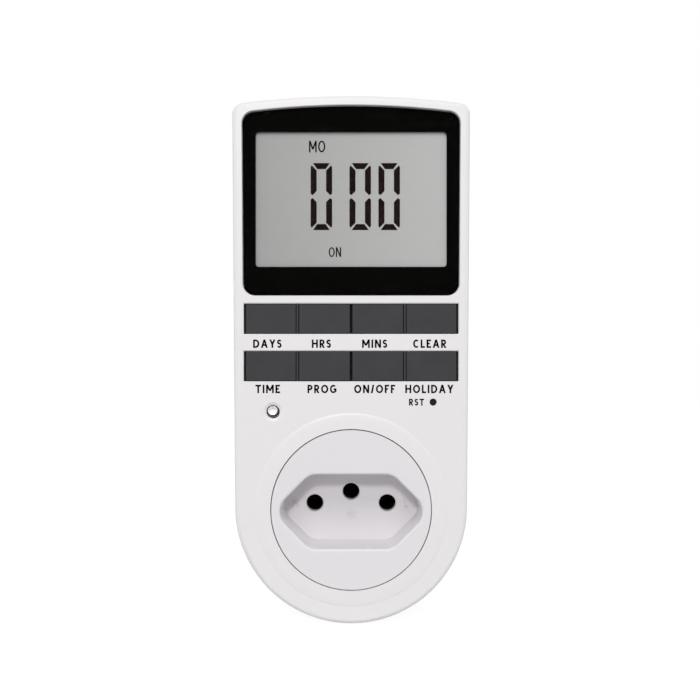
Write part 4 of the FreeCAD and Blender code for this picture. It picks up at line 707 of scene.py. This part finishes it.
def letter_outlines(letter, left, low, high, narrow, line):
    """Outlines of the strokes of one letter, and how wide it is."""
    if letter not in LETTERS:
        raise RuntimeError(f"no letter is drawn for {letter!r}")
    share, strokes = LETTERS[letter]
    wide = max(share * high * narrow, line)
    across, up = wide - line, high - line

    def place(x, z):
        return left + line / 2 + x * across, low + line / 2 + z * up

    outlines = []
    for stroke in strokes:
        if len(stroke) == 6:
            x, z = place(*stroke[:2])
            outlines += bow(x, z, stroke[2] * across, stroke[3] * up, *stroke[4:], line)
        else:
            (x0, z0), (x1, z1) = place(*stroke[:2]), place(*stroke[2:])
            ends = [z + line / 2 * ((rise == 1) - (rise == 0))
                    for z, rise in ((z0, stroke[1]), (z1, stroke[3]))]
            if stroke[1] == stroke[3]:
                ends = [z0, z1]
                x0 -= line / 2 * (stroke[0] == 0)
                x1 += line / 2 * (stroke[2] == 1)
            outlines.append(straight(x0, ends[0], x1, ends[1], line))
    return outlines, wide


def lettering(name, text, middle, high, back, front, line=0.205, gap=0.2, narrow=1.0):
    """A word in thin solid letters about a middle. Stroke and gap are shares of its height."""
    outlines, left = [], 0.0
    for letter in text.upper():
        drawn, wide = letter_outlines(letter, left, -high / 2, high, narrow, line * high)
        outlines += drawn
        left += wide + gap * high * narrow
    if not outlines:
        raise RuntimeError(f"{name} has no letters")
    start = middle[0] - (left - gap * high * narrow) / 2
    moved = [[(start + x, middle[1] + z) for x, z in outline] for outline in outlines]
    return plates(name, moved, back, front)


def turned(name, middle, profile, sides=40):
    """A ring shape about an axis along Y, from pairs of radius and depth in millimetres."""
    shape = bmesh.new()
    rings = []
    for radius, depth in profile:
        rings.append([shape.verts.new(((middle[0] + radius * math.cos(turn)) * MM, -depth * MM,
                                       (middle[1] + radius * math.sin(turn)) * MM))
                      for turn in (2 * math.pi * step / sides for step in range(sides))])
    for first, second in zip(rings, rings[1:] + rings[:1]):
        for index in range(sides):
            following = (index + 1) % sides
            face = shape.faces.new((first[index], first[following], second[following],
                                    second[index]))
            face.smooth = True
    return mesh_from(shape, name)


# Display marks

LIT = {"0": "abcdef", "1": "bc", "2": "abdeg", "3": "abcdg", "4": "bcfg", "5": "acdfg",
       "6": "acdefg", "7": "abc", "8": "abcdefg", "9": "abcdfg"}
DIGITS = [("digit_hours", -7.51), ("digit_tens", 2.30), ("digit_units", 9.62)]


def digit_outlines(digit, left, middle, wide, high, bar, slit):
    """Segments of one digit. Their ends are mitred, with slits and blunt corners between them."""
    half = high / 2
    start, blunt, nib = 0.38 * bar, 0.17 * bar, 0.33 * bar
    mitre = slit * 0.4
    flat = [(start, half), (wide - start, half), (wide - bar - mitre, half - bar),
            (bar + mitre, half - bar)]
    tall = [(0, half - start - blunt * 1.7), (blunt, half - start), (bar, half - bar - slit),
            (bar, bar * 0.7 + slit), (nib, slit), (0, bar * 0.27 + slit)]
    cross = [(nib + slit, 0), (bar + slit, bar / 2), (wide - bar - slit, bar / 2),
             (wide - nib - slit, 0), (wide - bar - slit, -bar / 2), (bar + slit, -bar / 2)]
    shapes = {"a": flat, "d": [(x, -z) for x, z in flat], "g": cross,
              "f": tall, "e": [(x, -z) for x, z in tall],
              "b": [(wide - x, z) for x, z in tall], "c": [(wide - x, -z) for x, z in tall]}
    return [[(left + x, middle + z) for x, z in shapes[segment]] for segment in LIT[digit]]


# Words and marks, in millimetres: the middle of each, and its height where it has its own

UPPER_LEGEND = 41.65
LOWER_LEGEND = 30.3
LEGENDS = [
    ("day", -21.0, UPPER_LEGEND), ("hour", -7.45, UPPER_LEGEND), ("minute", 5.9, UPPER_LEGEND),
    ("clear", 19.7, UPPER_LEGEND), ("clock", -20.9, LOWER_LEGEND), ("set", -7.3, LOWER_LEGEND),
    ("output", 5.9, LOWER_LEGEND), ("random", 19.6, LOWER_LEGEND),
]
RESET_LEGEND = (16.4, 27.0)
DAY_MARK = (-8.58, 91.49, 2.96)
OUTPUT_MARK = (-4.1, 64.81, 2.48)
POLE_LETTERS = [("mark_neutral", "N", -14.5), ("mark_live", "L", 14.4)]
POLE_MIDDLE = -0.1
POLE_HIGH = 2.2
# Bars of the earth sign, each with its height and its width, and the top of its stem
EARTH_BARS = [(-2.55, 2.9), (-3.35, 2.1), (-4.2, 1.2)]
EARTH_STEM = -1.5
EARTH_LINE = 0.28


# Pieces of the lamp, in millimetres. The base and the cup leave a hair of room round their axis.

AXIS_ROOM = 0.02
BASE_RADIUS = 1.38
BASE_LOW, BASE_HIGH = 0.25, 0.6
CUP_STEM, CUP_MOUTH, CUP_WALL = 0.3, 0.78, 0.08
CUP_SINK = 1.75
CUP_FLOOR = 0.22
CUP_ASIDE = (-0.11, 0.26)
SLEEVE_BORE, SLEEVE_RADIUS, SLEEVE_LIP = 1.95, 2.6, 1.6
SLEEVE_SINK = 2.05


# Operators

class TIMER_OT_finish_case(bpy.types.Operator):
    """Finish both shells and their screws"""
    bl_idname = "timer.finish_case"
    bl_label = "Finish case"

    def execute(self, context):
        dress(["front_cover", "rear_cover", "case_screws"], context.scene)
        return {"FINISHED"}


class TIMER_OT_finish_socket(bpy.types.Operator):
    """Finish the socket, its contacts, the plug pins and the leads"""
    bl_idname = "timer.finish_socket"
    bl_label = "Finish socket and plug"

    def execute(self, context):
        contacts = [f"{pole}_{kind}" for pole in ("live", "neutral", "earth")
                    for kind in ("contact", "pin")]
        dress(contacts + ["socket_face", "contact_carrier", "carrier_screws", "pin_retainer",
                          "neutral_strap", "earth_strap", "mains_leads"], context.scene)
        return {"FINISHED"}


class TIMER_OT_finish_display(bpy.types.Operator):
    """Finish the window, its printed border and the display cell"""
    bl_idname = "timer.finish_display"
    bl_label = "Finish display"

    def execute(self, context):
        dress(["display_window", "window_mask", "lcd_glass", "lcd_holder", "zebra_strip"],
              context.scene)
        return {"FINISHED"}


class TIMER_OT_finish_keys(bpy.types.Operator):
    """Finish the keys, their ribs, plungers and switches"""
    bl_idname = "timer.finish_keys"
    bl_label = "Finish keys"

    def execute(self, context):
        keys = [f"{name}_{kind}" for name, *_ in LEGENDS for kind in ("key", "plunger")]
        dress(keys + ["key_switches", "key_dividers", "reset_button", "reset_switch"],
              context.scene)
        return {"FINISHED"}


class TIMER_OT_finish_boards(bpy.types.Operator):
    """Finish both circuit boards and what they carry"""
    bl_idname = "timer.finish_boards"
    bl_label = "Finish boards"

    def execute(self, context):
        dress(["control_board", "control_board_screws", "controller_chip", "clock_crystal",
               "backup_cell", "cell_tabs", "board_link_wires", "power_board",
               "power_board_screws", "relay", "dropper_capacitor", "smoothing_capacitor",
               "varistor", "input_fuse", "rectifier_diodes", "board_resistors"], context.scene)
        return {"FINISHED"}


class TIMER_OT_add_digits(bpy.types.Operator):
    """Add the three large digits of the display"""
    bl_idname = "timer.add_digits"
    bl_label = "Add digits"

    def execute(self, context):
        shown = context.scene.timer_display
        if len(shown.digits) != len(DIGITS) or any(digit not in LIT for digit in shown.digits):
            raise RuntimeError("the display shows three digits")
        wide = shown.digit_wide / MM
        for digit, (name, middle) in zip(shown.digits, DIGITS):
            outlines = digit_outlines(digit, middle - wide / 2, shown.digit_middle / MM, wide,
                                      shown.digit_high / MM, shown.bar / MM, shown.slit / MM)
            mesh = plates(name, outlines, DISPLAY_FACE - INK_ROOT, DISPLAY_FACE + INK_THICK)
            add_piece(name, mesh, display_mark, context.scene)
        return {"FINISHED"}


class TIMER_OT_add_display_words(bpy.types.Operator):
    """Add the day and the state of the output to the display"""
    bl_idname = "timer.add_display_words"
    bl_label = "Add display words"

    def execute(self, context):
        shown = context.scene.timer_display
        for name, text, place in (("mark_day", shown.day, DAY_MARK),
                                  ("mark_output", shown.output, OUTPUT_MARK)):
            x, z, high = place
            mesh = lettering(name, text, (x, z), high, DISPLAY_FACE - INK_ROOT,
                             DISPLAY_FACE + INK_THICK, line=THIN_LINE, gap=0.16,
                             narrow=0.72)
            add_piece(name, mesh, display_mark, context.scene)
        return {"FINISHED"}


class TIMER_OT_add_legends(bpy.types.Operator):
    """Print the words under the keys and beside the reset hole"""
    bl_idname = "timer.add_legends"
    bl_label = "Add legends"

    def execute(self, context):
        words = context.scene.timer_legends
        places = [(name, x, z, words.cap_high) for name, x, z in LEGENDS]
        places.append(("reset", *RESET_LEGEND, words.small_high))
        for name, x, z, high in places:
            mesh = lettering(f"legend_{name}", getattr(words, name), (x, z), high / MM,
                             MAIN_FACE - INK_ROOT, MAIN_FACE + INK_THICK)
            add_piece(f"legend_{name}", mesh, printed_black, context.scene)
        return {"FINISHED"}


class TIMER_OT_add_socket_marks(bpy.types.Operator):
    """Raise the letters of the poles and the earth sign on the floor of the socket"""
    bl_idname = "timer.add_socket_marks"
    bl_label = "Add socket marks"

    def execute(self, context):
        back, front = RECESS_FLOOR - INK_ROOT, RECESS_FLOOR + EMBOSS
        for name, letter, x in POLE_LETTERS:
            mesh = lettering(name, letter, (x, POLE_MIDDLE), POLE_HIGH, back, front,
                             line=THIN_LINE)
            # The pole letters take a greyer tone, painted shade that shows their relief.
            add_piece(name, mesh, socket_relief, context.scene)
        outlines = [straight(-wide / 2, z, wide / 2, z, EARTH_LINE) for z, wide in EARTH_BARS]
        outlines.append(straight(0, EARTH_BARS[0][0], 0, EARTH_STEM, EARTH_LINE))
        mesh = plates("mark_earth", outlines, back, front)
        add_piece("mark_earth", mesh, socket_white, context.scene)
        return {"FINISHED"}


class TIMER_OT_add_lamp(bpy.types.Operator):
    """Finish the status lamp, and add its cup, its dark base and the sleeve round it"""
    bl_idname = "timer.add_lamp"
    bl_label = "Add lamp"

    def execute(self, context):
        scene = context.scene
        dress(["status_led", "led_leads"], scene)
        x, z = middle_of("status_led")
        tip, root = front_of("status_led"), back_of("status_led")
        low, high = root + BASE_LOW, root + BASE_HIGH
        base = [(AXIS_ROOM, low), (BASE_RADIUS, low), (BASE_RADIUS, high), (AXIS_ROOM, high)]
        add_piece("lamp_base", turned("lamp_base", (x, z), base), lamp_dark, scene)
        rim = tip - CUP_SINK
        cup = [(AXIS_ROOM, high), (CUP_STEM, high), (CUP_STEM, rim - 0.7), (CUP_MOUTH, rim - 0.25),
               (CUP_MOUTH, rim), (CUP_MOUTH - CUP_WALL, rim), (CUP_STEM, rim - CUP_FLOOR),
               (AXIS_ROOM, rim - CUP_FLOOR)]
        add_piece("lamp_cup", turned("lamp_cup", (x + CUP_ASIDE[0], z + CUP_ASIDE[1]), cup),
                  lamp_bright, scene)
        low, high = front_of("control_board"), MAIN_FACE - SLEEVE_SINK
        sleeve = [(SLEEVE_BORE, low), (SLEEVE_RADIUS, low), (SLEEVE_RADIUS, high),
                  (SLEEVE_LIP, high), (SLEEVE_LIP, high - 0.5), (SLEEVE_BORE, high - 0.8)]
        add_piece("lamp_sleeve", turned("lamp_sleeve", (x, z), sleeve), lamp_dark,
                  scene)
        return {"FINISHED"}


def background_share(tree):
    """Light Path nodes: 1 for what the camera, a mirror or glass sees, 0 for light that falls."""
    path = tree.nodes.new("ShaderNodeLightPath")
    share = path.outputs["Is Camera Ray"]
    for name in ("Is Glossy Ray", "Is Transmission Ray"):
        either = tree.nodes.new("ShaderNodeMath")
        either.operation = "MAXIMUM"
        tree.links.new(share, either.inputs[0])
        tree.links.new(path.outputs[name], either.inputs[1])
        share = either.outputs[0]
    return share


# Stage, in metres

WIDE_LAMP = {"size": 1.3, "away": 2.5}
LAMP_AIM = (0.0, -0.05, 0.02)
FLOOR_REACH = 0.8
FLOOR_SINK = 0.0002
FLOOR_GLOW = 1.24
FLOOR_GLOW_SHARE = 0.74


class TIMER_OT_set_stage(bpy.types.Operator):
    """Set up the floor, the even room light, the soft lamps and the camera"""
    bl_idname = "timer.set_stage"
    bl_label = "Set stage"

    def execute(self, context):
        scene = context.scene
        stage = scene.timer_stage
        self.room(scene, stage)
        self.floor(scene)
        self.lamp("key_lamp", scene, stage.key_power, size=0.35, away=3.0, rise=21.5, turn=4.0)
        self.lamp("top_lamp", scene, stage.top_power, rise=50.0, turn=0.0, **WIDE_LAMP)
        for name, turn in (("left_lamp", 78.0), ("right_lamp", -78.0)):
            self.lamp(name, scene, stage.side_power, rise=8.0, turn=turn, **WIDE_LAMP)
        self.lamp("back_lamp", scene, stage.back_power, rise=15.0, turn=180.0, **WIDE_LAMP)
        self.camera(scene, stage)
        scene.view_settings.view_transform = "Standard"
        return {"FINISHED"}

    def room(self, scene, stage):
        """Even light from all round, and white where the camera looks past the timer."""
        world = bpy.data.worlds.new("room")
        world.use_nodes = True
        tree = world.node_tree
        falls = tree.nodes["Background"]
        falls.inputs["Color"].default_value = (1.0, 0.995, 0.985, 1.0)
        falls.inputs["Strength"].default_value = stage.sky
        seen = tree.nodes.new("ShaderNodeBackground")
        seen.inputs["Color"].default_value = WHITE
        mixed = tree.nodes.new("ShaderNodeMixShader")
        tree.links.new(background_share(tree), mixed.inputs[0])
        tree.links.new(falls.outputs[0], mixed.inputs[1])
        tree.links.new(seen.outputs[0], mixed.inputs[2])
        tree.links.new(mixed.outputs[0], tree.nodes["World Output"].inputs["Surface"])
        scene.world = world

    def floor(self, scene):
        """A pale floor under the case. What the camera sees of it is nearly white."""
        shape = bmesh.new()
        bmesh.ops.create_grid(shape, x_segments=8, y_segments=8, size=FLOOR_REACH)
        bmesh.ops.translate(shape, vec=(0.0, 0.0, CAD_BOX[0].z - FLOOR_SINK), verts=shape.verts)
        floor = bpy.data.objects.new("floor", mesh_from(shape, "floor"))
        made = Finish("floor_paper")
        made.set(base_color=made.mottle((0.62, 0.62, 0.615), made.noise(300.0), 0.01),
                 roughness=made.spread(made.noise(40.0), 0.85, 0.95), shine=0.1)
        glow = made.add("ShaderNodeEmission", {"Color": WHITE, "Strength": FLOOR_GLOW})
        share = made.spread(background_share(made.tree), 0.0, FLOOR_GLOW_SHARE)
        mixed = made.add("ShaderNodeMixShader", {0: share, 1: made.shader.outputs[0],
                                                 2: glow.outputs[0]})
        made.join(mixed.outputs[0], made.output.inputs["Surface"])
        floor.data.materials.append(made.material)
        scene.collection.objects.link(floor)

    def lamp(self, name, scene, power, size, away, rise, turn):
        """A square soft lamp that aims at the timer, from this far up and round to its left."""
        light = bpy.data.lights.new(name, "AREA")
        light.shape = "SQUARE"
        light.size = size
        light.energy = power
        lamp = bpy.data.objects.new(name, light)
        rise, turn = math.radians(rise), math.radians(turn)
        flat = away * math.cos(rise)
        lamp.location = (LAMP_AIM[0] - flat * math.sin(turn), LAMP_AIM[1] - flat * math.cos(turn),
                         LAMP_AIM[2] + away * math.sin(rise))
        lamp.rotation_euler = (math.pi / 2 - rise, 0.0, -turn)
        scene.collection.objects.link(lamp)

    def camera(self, scene, stage):
        """The photograph's camera, level and square to the timer's face."""
        view = bpy.data.cameras.new("camera")
        view.lens = stage.lens
        view.sensor_width = 36.0
        view.clip_start = 0.01
        camera = bpy.data.objects.new("camera", view)
        camera.location = (stage.camera_x, -stage.camera_y, stage.camera_z)
        camera.rotation_euler = (math.pi / 2, 0.0, 0.0)
        scene.collection.objects.link(camera)
        scene.camera = camera


OPERATORS = [
    TIMER_OT_set_stage, TIMER_OT_finish_case, TIMER_OT_finish_socket, TIMER_OT_finish_display,
    TIMER_OT_finish_keys, TIMER_OT_finish_boards, TIMER_OT_add_digits,
    TIMER_OT_add_display_words, TIMER_OT_add_legends, TIMER_OT_add_socket_marks,
    TIMER_OT_add_lamp,
]


class TIMER_PT_sidebar(bpy.types.Panel):
    """Sizes, colours, words and steps of the timer"""
    bl_idname = "TIMER_PT_sidebar"
    bl_label = "Digital Timer"
    bl_space_type = "VIEW_3D"
    bl_region_type = "UI"
    bl_category = "Timer"

    def draw(self, context):
        layout = self.layout
        for title, group in (("Colours", context.scene.timer_colours),
                             ("Display", context.scene.timer_display),
                             ("Legends", context.scene.timer_legends),
                             ("Stage", context.scene.timer_stage)):
            box = layout.box()
            box.label(text=title)
            for name in group.__annotations__:
                box.prop(group, name)
        for step in OPERATORS:
            layout.operator(step.bl_idname)


GROUPS = {"timer_colours": TimerColours, "timer_display": TimerDisplay,
          "timer_legends": TimerLegends, "timer_stage": TimerStage}
CLASSES = [*GROUPS.values(), *OPERATORS, TIMER_PT_sidebar]


def register():
    for item in CLASSES:
        bpy.utils.register_class(item)
    for name, group in GROUPS.items():
        setattr(bpy.types.Scene, name, PointerProperty(type=group))


def unregister():
    for name in GROUPS:
        delattr(bpy.types.Scene, name)
    for item in reversed(CLASSES):
        bpy.utils.unregister_class(item)


def main():
    register()
    for step in OPERATORS:
        group, name = step.bl_idname.split(".")
        getattr(getattr(bpy.ops, group), name)()
    bare = [name for name, piece in NODES.items()
            if not any(place.material in FINISHED.values() for place in piece.material_slots)]
    if bare:
        raise RuntimeError(f"no finish on {', '.join(sorted(bare))}")


if __name__ == "__main__":
    main()
